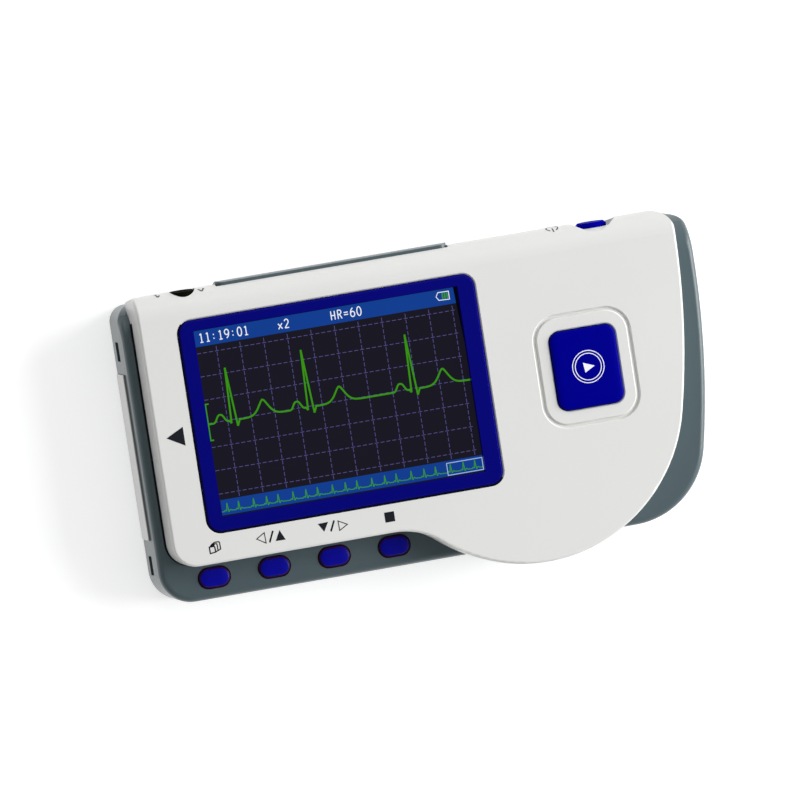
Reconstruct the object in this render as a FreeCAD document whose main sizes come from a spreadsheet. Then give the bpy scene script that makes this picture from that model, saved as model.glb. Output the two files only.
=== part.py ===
"""Handheld single-lead heart monitor, lying on its back, as an assembly of separate pieces.

Frame: +Z out of the display face, +X along the length, +Y towards the top side, which carries
the lead socket and the power button. The origin is under the middle of the case, on the back.
All sizes are millimetres.
"""
import FreeCAD, Part
import math
import os
from enum import IntEnum
import Sketcher

ORIGIN = -1          # a sketch's own axes, as constraints name them
UP = FreeCAD.Vector(0, 0, 1)
LOOSE = 0.01         # how near an edge must lie to a plane to be picked for rounding


class Point(IntEnum):
    """The points of a sketch element, as constraints number them."""
    START = 1
    END = 2
    CENTRE = 3


START, END, CENTRE = Point

# ----------------------------------------------------------------------------- driving sizes
SIZES = {
    # levels, measured from the back
    "cover_face": 20.0,
    "frame_face": 13.0,
    "parting_level": 10.0,
    "parting_gap": 0.1,
    "overshoot": 2.0,
    "skirt_low": 9.0,
    # grey housing outline
    "shell_left": -61.6,
    "shell_top": 33.0,
    "shell_bottom": -30.5,
    "shell_right_y": 22.0,
    "shell_side_radius": 185.0,
    "shell_sweep_radius": 17.3,
    "shell_corner_bl": 7.0,
    "shell_corner_tl": 3.5,
    "shell_corner_tr": 3.5,
    "shoulder_radius": 8.0,
    "shell_wall": 1.6,
    "back_bevel": 1.4,
    "frame_edge_round": 1.3,
    "frame_plate": 1.2,
    "belly_inset": 0.8,
    "belly_chord": 15.0,
    # white front cover outline
    "cover_left": -59.2,
    "cover_top": 34.95,
    "cover_bottom": -22.6,
    "side_bow": 3.4,
    "ledge_right": 5.0,
    "cover_right_y": 30.0,
    "bulge_left": -14.2,
    "bulge_y": 0.0,
    "bulge_radius": 34.3,
    "waist_radius": 15.4,
    "cover_corner_bl": 5.0,
    "cover_corner_tl": 1.2,
    "cover_corner_tr": 4.5,
    "cover_edge_round": 0.55,
    "rim_bevel": 0.25,
    "roll_radius": 5.0,
    "top_slope": 0.2,
    "cover_wall": 1.7,
    "cavity_side": 5.9,
    "cavity_top": 31.0,
    "cavity_sweep": 12.0,
    # display
    "bezel_x": -18.95,
    "bezel_y": 6.25,
    "bezel_side": 3.45,
    "bezel_rail": 2.6,
    "bezel_corner": 2.8,
    "bezel_proud": 0.2,
    "bezel_seat": 1.1,
    "bezel_round": 0.35,
    "picture_length": 57.3,
    "picture_height": 39.6,
    "picture_shift": 0.25,
    "picture_y": 6.6,
    "lens_margin": 1.8,
    "lens_round": 1.0,
    "lcd_side": 2.8,
    "lcd_rail": 1.9,
    "lcd_tail_length": 16.0,
    "lcd_thick": 2.7,
    # boards
    "board_thick": 1.6,
    "display_board_left": -52.5,
    "display_board_side": 11.0,
    "display_board_bottom": -19.0,
    "display_board_top": 29.2,
    "main_board_level": 8.0,
    "main_board_left": -58.2,
    "main_board_side": 4.8,
    "main_board_bottom": -27.4,
    "main_board_top": 6.6,
    "main_board_step": 14.5,
    "main_board_step_y": -4.6,
    "board_corner": 1.5,
    # start button
    "start_offset": 14.25,
    "start_y": 4.85,
    "start_length": 14.2,
    "start_height": 16.7,
    "start_corner": 2.2,
    "start_proud": 0.7,
    "start_round": 0.5,
    "start_gap": 0.2,
    "start_flange": 1.2,
    "start_travel": 0.4,
    "ring_length": 21.1,
    "ring_height": 23.9,
    "ring_corner": 5.3,
    "ring_width": 0.6,
    "ring_depth": 0.45,
    "flange_clear": 0.15,
    # four oval keys
    "key_first_x": -50.1,
    "key_pitch": 13.05,
    "key_y": -26.0,
    "key_length": 6.8,
    "key_height": 4.3,
    "key_gap": 0.2,
    "key_proud": 0.7,
    "key_round": 0.45,
    "key_flange": 0.6,
    "key_flange_thick": 0.6,
    "key_travel": 0.35,
    # power button
    "power_inset": 16.6,
    "power_level": 14.0,
    "power_radius": 3.3,
    "power_gap": 0.1,
    "power_dish_radius": 5.2,
    "power_dish_foot": 3.45,
    "power_dish_depth": 1.5,
    "power_dish_fall": 0.8,
    "power_sunk": 0.4,
    "power_flange": 0.4,
    "power_flange_thick": 0.7,
    "power_travel": 0.4,
    "power_round": 0.5,
    # lead socket
    "jack_x": -48.1,
    "jack_level": 13.6,
    "jack_collar": 2.6,
    "jack_crown": 2.1,
    "jack_gap": 0.1,
    "jack_bore": 1.8,
    "jack_depth": 14.0,
    "jack_end": 34.7,
    "jack_body_width": 7.0,
    "jack_body_low": 10.4,
    "jack_body_top": 15.5,
    "jack_body_back": 19.5,
    "jack_body_front": 30.0,
    "jack_wing_width": 0.5,
    "jack_wing_length": 7.5,
    "jack_wing_thick": 1.0,
    # battery bay
    "cell_radius": 5.1,
    "cell_length": 43.7,
    "cell_nub_radius": 1.9,
    "cell_nub": 0.8,
    "cell_level": 6.45,
    "cell_upper_y": 24.8,
    "cell_pitch": 10.35,
    "bay_left": -40.2,
    "bay_bottom": 9.1,
    "bay_top": 30.6,
    "bay_wall": 1.2,
    "contact_thick": 0.4,
    "contact_reach": 2.25,
    "contact_low": 2.4,
    "contact_high": 10.4,
    # battery door
    "door_thick": 1.2,
    "door_margin": 0.6,
    "door_gap": 0.15,
    "door_heel": 2.0,
    "door_inner_bend": 0.2,
    "door_bend_level": 9.5,
    "door_side": 0.8,
    "lip_proud": 0.55,
    "lip_depth": 0.35,
    "lip_reach": 1.75,
    "lip_corner": 1.6,
    "grip_inset": 14.0,
    "grip_pitch": 1.8,
    "grip_width": 0.8,
    "grip_length": 14.0,
    "grip_depth": 0.35,
    # electrodes
    "plate_low": 2.2,
    "plate_high": 9.0,
    "plate_proud": 0.45,
    "plate_inset": 0.7,
    "plate_gap": 0.05,
    "plate_round": 0.3,
    "left_plate_bottom": -16.5,
    "left_plate_top": 18.8,
    "right_plate_bottom": -3.0,
    "right_plate_top": 20.0,
    "tab_width": 3.0,
    "tab_thick": 1.0,
    "tab_reach": 2.4,
    "tab_root": 0.9,
    "left_tab_y": 0.0,
    "right_tab_y": 1.0,
    "back_plate_inset": 24.3,
    "back_plate_y": 16.2,
    "back_plate_length": 30.0,
    "back_plate_height": 12.0,
    "back_plate_corner": 4.0,
    "back_plate_thick": 0.9,
    # slots in the left end
    "slot_length": 4.1,
    "slot_height": 3.0,
    "slot_depth": 1.1,
    "slot_level": 5.6,
    "slot_upper_y": 23.6,
    "slot_lower_y": -22.0,
    # screws
    "case_screw_left": -55.0,
    "case_screw_inset": 8.4,
    "case_screw_top": 26.4,
    "case_screw_bottom_left": -17.5,
    "case_screw_bottom_right": -8.5,
    "boss_half": 2.6,
    "cover_boss_half": 2.1,
    "screw_radius": 1.0,
    "screw_head_radius": 1.9,
    "screw_head_thick": 1.4,
    "screw_sink": 3.0,
    "screw_gap": 0.2,
    "screw_reach": 4.4,
    "board_screw_radius": 0.8,
    "board_screw_head": 1.5,
    "board_screw_head_thick": 0.8,
    "post_half": 2.0,
    "post_inset_x": 6.0,
    "post_inset_y": 3.4,
    "pad_half": 1.1,
    "pad_inset": 2.4,
    "pad_rise": 7.0,
    "display_screw_offset": 0.25,
    "display_screw_inset": 4.0,
    # electronics
    "dome_length": 4.6,
    "start_switch_size": 6.0,
    "start_switch_thick": 0.9,
    "power_switch_width": 5.0,
    "power_switch_depth": 3.6,
    "power_switch_height": 3.6,
    "power_plunger_radius": 0.9,
    "buzzer_offset": 5.9,
    "buzzer_y": -9.0,
    "buzzer_radius": 6.0,
    "buzzer_thick": 3.4,
    "sound_slot": 8.0,
    "sound_slot_width": 1.0,
    "sound_pitch": 2.2,
    "chip_x": 2.0,
    "chip_y": -9.0,
    "chip_size": 12.0,
    "chip_thick": 1.2,
    "shield_x": -32.0,
    "shield_y": -8.0,
    "shield_length": 24.0,
    "shield_height": 14.0,
    "shield_thick": 1.9,
    "link_offset": -0.1,
    "link_y": -11.0,
    "link_length": 14.0,
    "link_width": 3.6,
    "window_left": -47.0,
    "window_side": 11.8,
    "window_bottom": -17.0,
    "window_top": 6.0,
    "window_corner": 3.0,
}

# Sizes that follow from the driving ones, as formulas in the same sheet.
FORMULAS = {
    "bulge_x": "bulge_left + bulge_radius",
    "cover_right": "bulge_x + bulge_radius + side_bow",
    "shell_right": "cover_right + ledge_right",
    "case_screw_right": "cover_right - case_screw_inset",
    "power_x": "cover_right - power_inset",
    "start_x": "bulge_x + start_offset",
    "buzzer_x": "bulge_x + buzzer_offset",
    "link_x": "bulge_x + link_offset",
    "display_screw_x": "bulge_x + display_screw_offset",
    "back_plate_x": "shell_right - back_plate_inset",
    "window_right": "cover_right - window_side",
    "main_board_right": "shell_right - main_board_side",
    "main_board_step_x": "main_board_right - main_board_step",
    "display_board_right": "cover_right - display_board_side",
    "bezel_length": "picture_length + 2 * bezel_side",
    "bezel_height": "picture_height + 2 * bezel_rail",
    "lcd_length": "picture_length + 2 * lcd_side",
    "lcd_height": "picture_height + 2 * lcd_rail",
    "bay_right": "bay_left + cell_length + cell_nub + 2 * contact_reach",
    "cover_side_radius": "((cover_right - bulge_x)^2 + (cover_right_y - bulge_y)^2 - bulge_radius^2)"
                         " / (2 * (cover_right - bulge_x - bulge_radius))",
}

document = FreeCAD.newDocument("heart_monitor")
sheet = document.addObject("Spreadsheet::Sheet", "Sizes")
for row, (alias, content) in enumerate(list(SIZES.items()) + list(FORMULAS.items()), start=1):
    sheet.set("A%d" % row, alias)
    sheet.set("B%d" % row, "=" + content if alias in FORMULAS else str(content))
    sheet.setAlias("B%d" % row, alias)
document.recompute()


class Size(float):
    """A length in millimetres that also carries the sheet expression it comes from."""

    def __new__(cls, number, text):
        size = super().__new__(cls, number)
        size.text = text
        return size

    def __add__(self, other):
        return Size(float(self) + float(other), "(%s + %s)" % (self.text, text_of(other)))

    def __radd__(self, other):
        return Size(float(other) + float(self), "(%s + %s)" % (text_of(other), self.text))

    def __sub__(self, other):
        return Size(float(self) - float(other), "(%s - %s)" % (self.text, text_of(other)))

    def __rsub__(self, other):
        return Size(float(other) - float(self), "(%s - %s)" % (text_of(other), self.text))

    def __mul__(self, other):
        return Size(float(self) * float(other), "(%s * %s)" % (self.text, text_of(other)))

    __rmul__ = __mul__

    def __truediv__(self, other):
        return Size(float(self) / float(other), "(%s / %s)" % (self.text, text_of(other)))

    def __neg__(self):
        return Size(-float(self), "(0 - %s)" % self.text)

    def root(self):
        return Size(math.sqrt(float(self)), "sqrt(%s)" % self.text)


def text_of(number):
    """The expression text of a size, or of a plain number."""
    return number.text if isinstance(number, Size) else repr(float(number))


class Sheet:
    """Reads a size from the spreadsheet by its alias."""

    def __getattr__(self, alias):
        return Size(sheet.get(alias), "Sizes." + alias)


s = Sheet()


def size_of(number):
    """Any number as a size."""
    return number if isinstance(number, Size) else Size(number, text_of(number))


# ----------------------------------------------------------------------------- sketches
def new_body(label):
    body = document.addObject("PartDesign::Body", label)
    body.Label = label
    return body


def new_sketch(body, name, role="XY_Plane", lift=0.0):
    """A sketch on one of the body's own planes, moved along that plane's normal by lift."""
    sketch = body.newObject("Sketcher::SketchObject", body.Name + "_" + name)
    plane = next(item for item in body.Origin.OriginFeatures if item.Role == role)
    sketch.AttachmentSupport = (plane, [""])
    sketch.MapMode = "FlatFace"
    sketch.setExpression("AttachmentOffset.Base.z", text_of(lift))
    return sketch


def bind_constraint(sketch, kind, number, *where):
    """Add a dimension whose value comes from the sheet."""
    index = sketch.addConstraint(Sketcher.Constraint(kind, *where, float(number)))
    sketch.setExpression("Constraints[%d]" % index, text_of(number))


def pin(sketch, item, place, x=None, y=None):
    """Fix a point of a sketch element at a distance from the sketch's origin."""
    if x is not None:
        bind_constraint(sketch, "DistanceX", x, ORIGIN, START, item, place)
    if y is not None:
        bind_constraint(sketch, "DistanceY", y, ORIGIN, START, item, place)


def polygon(sketch, corners):
    """A closed straight-sided outline with every corner pinned to the sheet."""
    points = [FreeCAD.Vector(float(x), float(y), 0) for x, y in corners]
    lines = []
    for here, there in zip(points, points[1:] + points[:1]):
        lines.append(sketch.addGeometry(Part.LineSegment(here, there), False))
    for line, after in zip(lines, lines[1:] + lines[:1]):
        sketch.addConstraint(Sketcher.Constraint("Coincident", line, END, after, START))
    for line, (x, y) in zip(lines, corners):
        pin(sketch, line, START, x, y)


def rectangle(sketch, left, right, bottom, top):
    polygon(sketch, [(left, bottom), (right, bottom), (right, top), (left, top)])


def rounded_rectangle(sketch, left, right, bottom, top, radius):
    """Four straight sides and four equal corner arcs, tangent all round."""
    walk = Walk(sketch)
    inner_left, inner_right = left + radius, right - radius
    inner_bottom, inner_top = bottom + radius, top - radius
    low = walk.line((inner_left, bottom), (inner_right, bottom))
    corner = walk.arc((inner_right, inner_bottom), (inner_right, bottom), (right, inner_bottom))
    side = walk.line((right, inner_bottom), (right, inner_top))
    arcs = [corner, walk.arc((inner_right, inner_top), (right, inner_top), (inner_right, top))]
    high = walk.line((inner_right, top), (inner_left, top))
    arcs.append(walk.arc((inner_left, inner_top), (inner_left, top), (left, inner_top)))
    back = walk.line((left, inner_top), (left, inner_bottom))
    arcs.append(walk.arc((inner_left, inner_bottom), (left, inner_bottom), (inner_left, bottom)))
    walk.close()
    for line in (low, high):
        sketch.addConstraint(Sketcher.Constraint("Horizontal", line))
    for line in (side, back):
        sketch.addConstraint(Sketcher.Constraint("Vertical", line))
    pin(sketch, low, START, y=bottom)
    pin(sketch, high, START, y=top)
    pin(sketch, side, START, x=right)
    pin(sketch, back, START, x=left)
    for arc in arcs:
        bind_constraint(sketch, "Radius", radius, arc)


def stadium(sketch, x, y, length, height):
    """A slot shape: two straight sides joined by half circles."""
    reach = (length - height) / 2
    half = height / 2
    walk = Walk(sketch)
    low = walk.line((x - reach, y - half), (x + reach, y - half))
    right = walk.arc((x + reach, y), (x + reach, y - half), (x + reach, y + half))
    high = walk.line((x + reach, y + half), (x - reach, y + half))
    left = walk.arc((x - reach, y), (x - reach, y + half), (x - reach, y - half))
    walk.close()
    sketch.addConstraint(Sketcher.Constraint("Horizontal", low))
    sketch.addConstraint(Sketcher.Constraint("Horizontal", high))
    pin(sketch, right, CENTRE, x + reach, y)
    pin(sketch, left, CENTRE, x=x - reach)
    bind_constraint(sketch, "Radius", half, right)


def upright_slot(sketch, x, low, high, radius):
    """A slot that stands upright, between the centres of its two half circles."""
    walk = Walk(sketch)
    right = walk.line((x + radius, low), (x + radius, high))
    over = walk.arc((x, high), (x + radius, high), (x - radius, high))
    left = walk.line((x - radius, high), (x - radius, low))
    under = walk.arc((x, low), (x - radius, low), (x + radius, low))
    walk.close()
    sketch.addConstraint(Sketcher.Constraint("Vertical", right))
    sketch.addConstraint(Sketcher.Constraint("Vertical", left))
    pin(sketch, over, CENTRE, x, high)
    pin(sketch, under, CENTRE, y=low)
    bind_constraint(sketch, "Radius", radius, over)


def disc(sketch, x, y, radius):
    place = FreeCAD.Vector(float(x), float(y), 0)
    item = sketch.addGeometry(Part.Circle(place, UP, float(radius)), False)
    pin(sketch, item, CENTRE, x, y)
    bind_constraint(sketch, "Radius", radius, item)


class Walk:
    """Draws a closed outline of lines and arcs in walking order and joins its ends."""

    def __init__(self, sketch):
        self.sketch = sketch
        self.items = []
        self.sharp = set()

    def line(self, start, end, sharp=False):
        ends = [FreeCAD.Vector(float(x), float(y), 0) for x, y in (start, end)]
        return self.add(Part.LineSegment(*ends), START, END, sharp)

    def arc(self, centre, start, end, clockwise=False, sharp=False):
        middle = FreeCAD.Vector(float(centre[0]), float(centre[1]), 0)
        angles = []
        for x, y in (start, end):
            angles.append(math.atan2(float(y) - middle.y, float(x) - middle.x))
        radius = math.hypot(float(start[0]) - middle.x, float(start[1]) - middle.y)
        if clockwise:
            angles.reverse()
        shape = Part.ArcOfCircle(Part.Circle(middle, UP, radius), *angles)
        first, last = (END, START) if clockwise else (START, END)
        return self.add(shape, first, last, sharp)

    def add(self, shape, first, last, sharp):
        item = self.sketch.addGeometry(shape, False)
        self.items.append((item, first, last))
        if sharp:
            self.sharp.add(item)
        return item

    def close(self):
        """Join each end to the next start: tangent, or only touching after a sharp stretch."""
        for here, there in zip(self.items, self.items[1:] + self.items[:1]):
            kind = "Coincident" if here[0] in self.sharp else "Tangent"
            joint = Sketcher.Constraint(kind, here[0], here[2], there[0], there[1])
            self.sketch.addConstraint(joint)


def toward(centre, other, distance):
    """The point at a distance from centre, in the direction of other."""
    dx, dy = float(other[0]) - float(centre[0]), float(other[1]) - float(centre[1])
    scale = float(distance) / math.hypot(dx, dy)
    return float(centre[0]) + dx * scale, float(centre[1]) + dy * scale


def shell_outline(sketch, inset=0.0, top=None):
    """The grey housing from the front: straight left, top and bottom, a bowed right side
    and a wide sweep into the bottom. The top corners are left sharp."""
    inset = size_of(inset)
    left, bottom = s.shell_left + inset, s.shell_bottom + inset
    top = s.shell_top - inset if top is None else top
    side_radius, sweep, corner = (s.shell_side_radius - inset, s.shell_sweep_radius - inset,
                                  s.shell_corner_bl - inset)
    side = (s.shell_right - s.shell_side_radius, s.shell_right_y)
    sweep_y = s.shell_bottom + s.shell_sweep_radius
    rise = float(sweep_y - side[1])
    sweep_x = float(side[0]) + math.sqrt(float(s.shell_side_radius - s.shell_sweep_radius) ** 2
                                         - rise ** 2)
    high = float(top - side[1])
    top_right = (float(side[0]) + math.sqrt(float(side_radius) ** 2 - high ** 2), top)
    turn = toward(side, (sweep_x, sweep_y), side_radius)
    walk = Walk(sketch)
    left_line = walk.line((left, top), (left, bottom + corner))
    corner_arc = walk.arc((left + corner, bottom + corner), (left, bottom + corner),
                          (left + corner, bottom))
    bottom_line = walk.line((left + corner, bottom), (sweep_x, bottom))
    sweep_arc = walk.arc((sweep_x, sweep_y), (sweep_x, bottom), turn)
    side_arc = walk.arc(side, turn, top_right, sharp=True)
    top_line = walk.line(top_right, (left, top), sharp=True)
    walk.close()
    sketch.addConstraint(Sketcher.Constraint("Vertical", left_line))
    sketch.addConstraint(Sketcher.Constraint("Horizontal", bottom_line))
    sketch.addConstraint(Sketcher.Constraint("Horizontal", top_line))
    pin(sketch, left_line, START, left, top)
    pin(sketch, bottom_line, START, y=bottom)
    pin(sketch, side_arc, CENTRE, *side)
    bind_constraint(sketch, "Radius", side_radius, side_arc)
    bind_constraint(sketch, "Radius", sweep, sweep_arc)
    bind_constraint(sketch, "Radius", corner, corner_arc)


def cover_outline(sketch):
    """The white cover from the front: it runs straight along the bottom, dips through a
    waist into a round bulge and rises along a bowed right side. Its top corners are sharp."""
    left, bottom, top = s.cover_left, s.cover_bottom, s.cover_top
    corner = s.cover_corner_bl
    bulge = (s.bulge_x, s.bulge_y)
    side = (s.cover_right - s.cover_side_radius, s.cover_right_y)
    waist_y = bottom - s.waist_radius
    drop = float(waist_y - bulge[1])
    waist_x = float(bulge[0]) - math.sqrt(float(s.bulge_radius + s.waist_radius) ** 2 - drop ** 2)
    waist = (waist_x, waist_y)
    meet = toward(waist, bulge, s.waist_radius)
    turn = toward(side, bulge, s.cover_side_radius)
    high = float(top - side[1])
    top_right = (float(side[0]) + math.sqrt(float(s.cover_side_radius) ** 2 - high ** 2), top)
    walk = Walk(sketch)
    left_line = walk.line((left, top), (left, bottom + corner))
    corner_arc = walk.arc((left + corner, bottom + corner), (left, bottom + corner),
                          (left + corner, bottom))
    bottom_line = walk.line((left + corner, bottom), (waist_x, bottom))
    waist_arc = walk.arc(waist, (waist_x, bottom), meet, clockwise=True)
    bulge_arc = walk.arc(bulge, meet, turn)
    side_arc = walk.arc(side, turn, top_right, sharp=True)
    top_line = walk.line(top_right, (left, top), sharp=True)
    walk.close()
    sketch.addConstraint(Sketcher.Constraint("Vertical", left_line))
    sketch.addConstraint(Sketcher.Constraint("Horizontal", bottom_line))
    sketch.addConstraint(Sketcher.Constraint("Horizontal", top_line))
    pin(sketch, left_line, START, left, top)
    pin(sketch, bottom_line, START, y=bottom)
    pin(sketch, bulge_arc, CENTRE, *bulge)
    pin(sketch, side_arc, CENTRE, y=side[1])
    bind_constraint(sketch, "Radius", s.cover_side_radius, side_arc)
    bind_constraint(sketch, "Radius", s.bulge_radius, bulge_arc)
    bind_constraint(sketch, "Radius", s.waist_radius, waist_arc)
    bind_constraint(sketch, "Radius", corner, corner_arc)


def belly_outline(sketch, radius):
    """A circular segment under the bulge, cut off by a level chord inside the housing."""
    half = (radius * radius - s.belly_chord * s.belly_chord).root()
    level = s.bulge_y - s.belly_chord
    walk = Walk(sketch)
    chord = walk.line((s.bulge_x + half, level), (s.bulge_x - half, level), sharp=True)
    arc = walk.arc((s.bulge_x, s.bulge_y), (s.bulge_x - half, level), (s.bulge_x + half, level),
                   sharp=True)
    walk.close()
    sketch.addConstraint(Sketcher.Constraint("Horizontal", chord))
    pin(sketch, chord, START, y=level)
    pin(sketch, arc, CENTRE, s.bulge_x, s.bulge_y)
    bind_constraint(sketch, "Radius", radius, arc)


def corner_outline(sketch, x, y, side, radius):
    """What a rounded vertical corner removes; side is -1 for a left corner, 1 for a right one."""
    beyond = 2.0
    inner = x - side * radius
    outer = x + side * beyond
    walk = Walk(sketch)
    arc = walk.arc((inner, y - radius), (x, y - radius), (inner, y), clockwise=side < 0,
                   sharp=True)
    up = walk.line((inner, y), (inner, y + beyond), sharp=True)
    across = walk.line((inner, y + beyond), (outer, y + beyond), sharp=True)
    down = walk.line((outer, y + beyond), (outer, y - radius), sharp=True)
    back = walk.line((outer, y - radius), (x, y - radius), sharp=True)
    walk.close()
    sketch.addConstraint(Sketcher.Constraint("Vertical", up))
    sketch.addConstraint(Sketcher.Constraint("Horizontal", across))
    sketch.addConstraint(Sketcher.Constraint("Vertical", down))
    sketch.addConstraint(Sketcher.Constraint("Horizontal", back))
    pin(sketch, arc, CENTRE, inner, y - radius)
    bind_constraint(sketch, "Radius", radius, arc)
    pin(sketch, up, START, x=inner)
    pin(sketch, across, END, outer, y + beyond)
    pin(sketch, back, START, y=y - radius)


def beyond_arc_outline(sketch, centre_y, centre_z, radius, low=0.0, reach=6.0):
    """On the YZ plane: what lies outside a quarter arc that rounds a top front edge."""
    foot_y, foot_z = centre_y + radius, centre_z - low
    far_y, far_z = centre_y + radius + reach, centre_z + radius + reach
    walk = Walk(sketch)
    arc = walk.arc((centre_y, centre_z), (centre_y + radius, centre_z),
                   (centre_y, centre_z + radius), sharp=True)
    rise = walk.line((centre_y, centre_z + radius), (centre_y, far_z), sharp=True)
    over = walk.line((centre_y, far_z), (far_y, far_z), sharp=True)
    fall = walk.line((far_y, far_z), (far_y, foot_z), sharp=True)
    back = walk.line((far_y, foot_z), (foot_y, foot_z), sharp=True)
    walk.close()
    pin(sketch, arc, CENTRE, centre_y, centre_z)
    bind_constraint(sketch, "Radius", radius, arc)
    pin(sketch, rise, START, x=centre_y)
    pin(sketch, over, START, centre_y, far_z)
    pin(sketch, fall, START, far_y, far_z)
    pin(sketch, back, START, far_y, foot_z)
    pin(sketch, back, END, y=foot_z)


def under_shoulder_outline(sketch, clearance):
    """On the YZ plane: the room that the grey housing takes up under the front cover."""
    floor_z = s.skirt_low - 3.0
    far_y = s.shell_bottom - s.bulge_radius
    centre_y = s.shell_top - s.shoulder_radius
    centre_z = s.frame_face - s.shoulder_radius
    radius = s.shoulder_radius + clearance
    inner_y = centre_y
    drop = (radius * radius - s.shoulder_radius * s.shoulder_radius).root()
    walk = Walk(sketch)
    level = walk.line((far_y, s.frame_face), (centre_y + drop, s.frame_face), sharp=True)
    arc = walk.arc((centre_y, centre_z), (centre_y + drop, s.frame_face),
                   (centre_y + radius, centre_z), clockwise=True)
    wall = walk.line((centre_y + radius, centre_z), (centre_y + radius, floor_z), sharp=True)
    floor = walk.line((centre_y + radius, floor_z), (far_y, floor_z), sharp=True)
    back = walk.line((far_y, floor_z), (far_y, s.frame_face), sharp=True)
    walk.close()
    sketch.addConstraint(Sketcher.Constraint("Vertical", wall))
    pin(sketch, level, START, far_y, s.frame_face)
    pin(sketch, level, END, y=s.frame_face)
    pin(sketch, arc, CENTRE, inner_y, centre_z)
    bind_constraint(sketch, "Radius", radius, arc)
    pin(sketch, floor, START, y=floor_z)
    pin(sketch, back, START, far_y, floor_z)


# ----------------------------------------------------------------------------- features
def pad(body, sketch, length):
    feature = body.newObject("PartDesign::Pad", sketch.Name + "_pad")
    feature.Profile = sketch
    feature.Length = float(length)
    feature.setExpression("Length", text_of(length))
    document.recompute()
    return feature


def pocket(body, sketch, length, along=False):
    """Cut against the sketch's normal, or along it. A cut that removes nothing is a mistake."""
    before = body.Shape.Volume
    feature = body.newObject("PartDesign::Pocket", sketch.Name + "_cut")
    feature.Profile = sketch
    feature.Length = float(length)
    feature.Reversed = along
    feature.setExpression("Length", text_of(length))
    document.recompute()
    if body.Shape.isNull() or body.Shape.Volume >= before - 1e-6:
        raise RuntimeError(sketch.Name + " cuts nothing")
    return feature


def fillet(body, radius, chosen):
    """Round the edges that the test chosen accepts."""
    soften(body, "Fillet", "Radius", radius, chosen)


def chamfer(body, size, chosen):
    """Bevel the edges that the test chosen accepts."""
    soften(body, "Chamfer", "Size", size, chosen)


def soften(body, kind, measure, size, chosen):
    base = body.Tip
    names = []
    for number, edge in enumerate(base.Shape.Edges, start=1):
        if chosen(edge):
            names.append("Edge%d" % number)
    if not names:
        raise RuntimeError(body.Label + " has no such edge to round")
    feature = body.newObject("PartDesign::" + kind, base.Name + "_" + kind.lower())
    feature.Base = (base, names)
    setattr(feature, measure, float(size))
    feature.setExpression(measure, text_of(size))
    document.recompute()


def lies_at(edge, axis, level):
    """Whether an edge lies in the plane at a level along one axis."""
    box = edge.BoundBox
    low, high = {"x": (box.XMin, box.XMax), "y": (box.YMin, box.YMax),
                 "z": (box.ZMin, box.ZMax)}[axis]
    return abs(low - float(level)) < LOOSE and abs(high - float(level)) < LOOSE


def cut_box(body, name, left, right, bottom, top, low, high):
    sketch = new_sketch(body, name, lift=low)
    rectangle(sketch, left, right, bottom, top)
    return pocket(body, sketch, high - low, along=True)


def cut_holes(body, name, spots, radius, low, high):
    """Round holes through the level range, all from one sketch."""
    sketch = new_sketch(body, name, lift=low)
    for x, y in spots:
        disc(sketch, x, y, radius)
    return pocket(body, sketch, high - low, along=True)


def cut_ways(body, name, spots, radius, low, high):
    """Eight-sided ways for screws, whose flats lie at the radius, all from one sketch."""
    sketch = new_sketch(body, name, lift=low)
    corners = 8
    turns = [2 * math.pi * (number + 0.5) / corners for number in range(corners)]
    reach = radius / math.cos(math.pi / corners)
    for x, y in spots:
        polygon(sketch, [(x + reach * math.cos(turn), y + reach * math.sin(turn))
                         for turn in turns])
    return pocket(body, sketch, high - low, along=True)


def add_posts(body, name, spots, half, low, high):
    """Square posts through the level range, all from one sketch."""
    sketch = new_sketch(body, name, lift=low)
    for x, y in spots:
        rectangle(sketch, x - half, x + half, y - half, y + half)
    return pad(body, sketch, high - low)


def bind(item, **sizes):
    for name, number in sizes.items():
        item.setExpression(name.replace("_", "."), text_of(number))


def place(item, x, y, z):
    item.setExpression("Placement.Base.x", text_of(x))
    item.setExpression("Placement.Base.y", text_of(y))
    item.setExpression("Placement.Base.z", text_of(z))


def box(label, left, right, bottom, top, low, high):
    item = document.addObject("Part::Box", label)
    item.Label = label
    bind(item, Length=right - left, Width=top - bottom, Height=high - low)
    place(item, left, bottom, low)
    return item


def rod(label, x, y, low, radius, length, along="z"):
    """A cylinder that starts at a level and runs along Z, or from y along Y."""
    item = document.addObject("Part::Cylinder", label)
    item.Label = label
    if along == "y":
        item.Placement = FreeCAD.Placement(FreeCAD.Vector(),
                                           FreeCAD.Rotation(FreeCAD.Vector(1, 0, 0), -90))
    if along == "x":
        item.Placement = FreeCAD.Placement(FreeCAD.Vector(),
                                           FreeCAD.Rotation(FreeCAD.Vector(0, 1, 0), 90))
    bind(item, Radius=radius, Height=length)
    place(item, x, y, low)
    return item


def prism(label, x, y, low, radius, height, sides):
    """An upright prism with a regular base."""
    item = document.addObject("Part::Prism", label)
    item.Label = label
    item.Polygon = sides
    bind(item, Circumradius=radius, Height=height)
    place(item, x, y, low)
    return item


def join(label, pieces):
    """One solid from touching or overlapping pieces."""
    item = document.addObject("Part::MultiFuse", label)
    item.Label = label
    item.Shapes = pieces
    item.Refine = True
    return item


def group(label, pieces):
    """Several separate solids that share one node."""
    item = document.addObject("Part::Compound", label)
    item.Label = label
    item.Links = pieces
    return item


def cut(label, base, tool):
    item = document.addObject("Part::Cut", label)
    item.Label = label
    item.Base = base
    item.Tool = tool
    return item


# ----------------------------------------------------------------------------- shared places
def case_screw_spots():
    return [(s.case_screw_left, s.case_screw_bottom_left), (s.case_screw_left, s.case_screw_top),
            (s.case_screw_right, s.case_screw_top),
            (s.case_screw_right, s.case_screw_bottom_right)]


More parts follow.
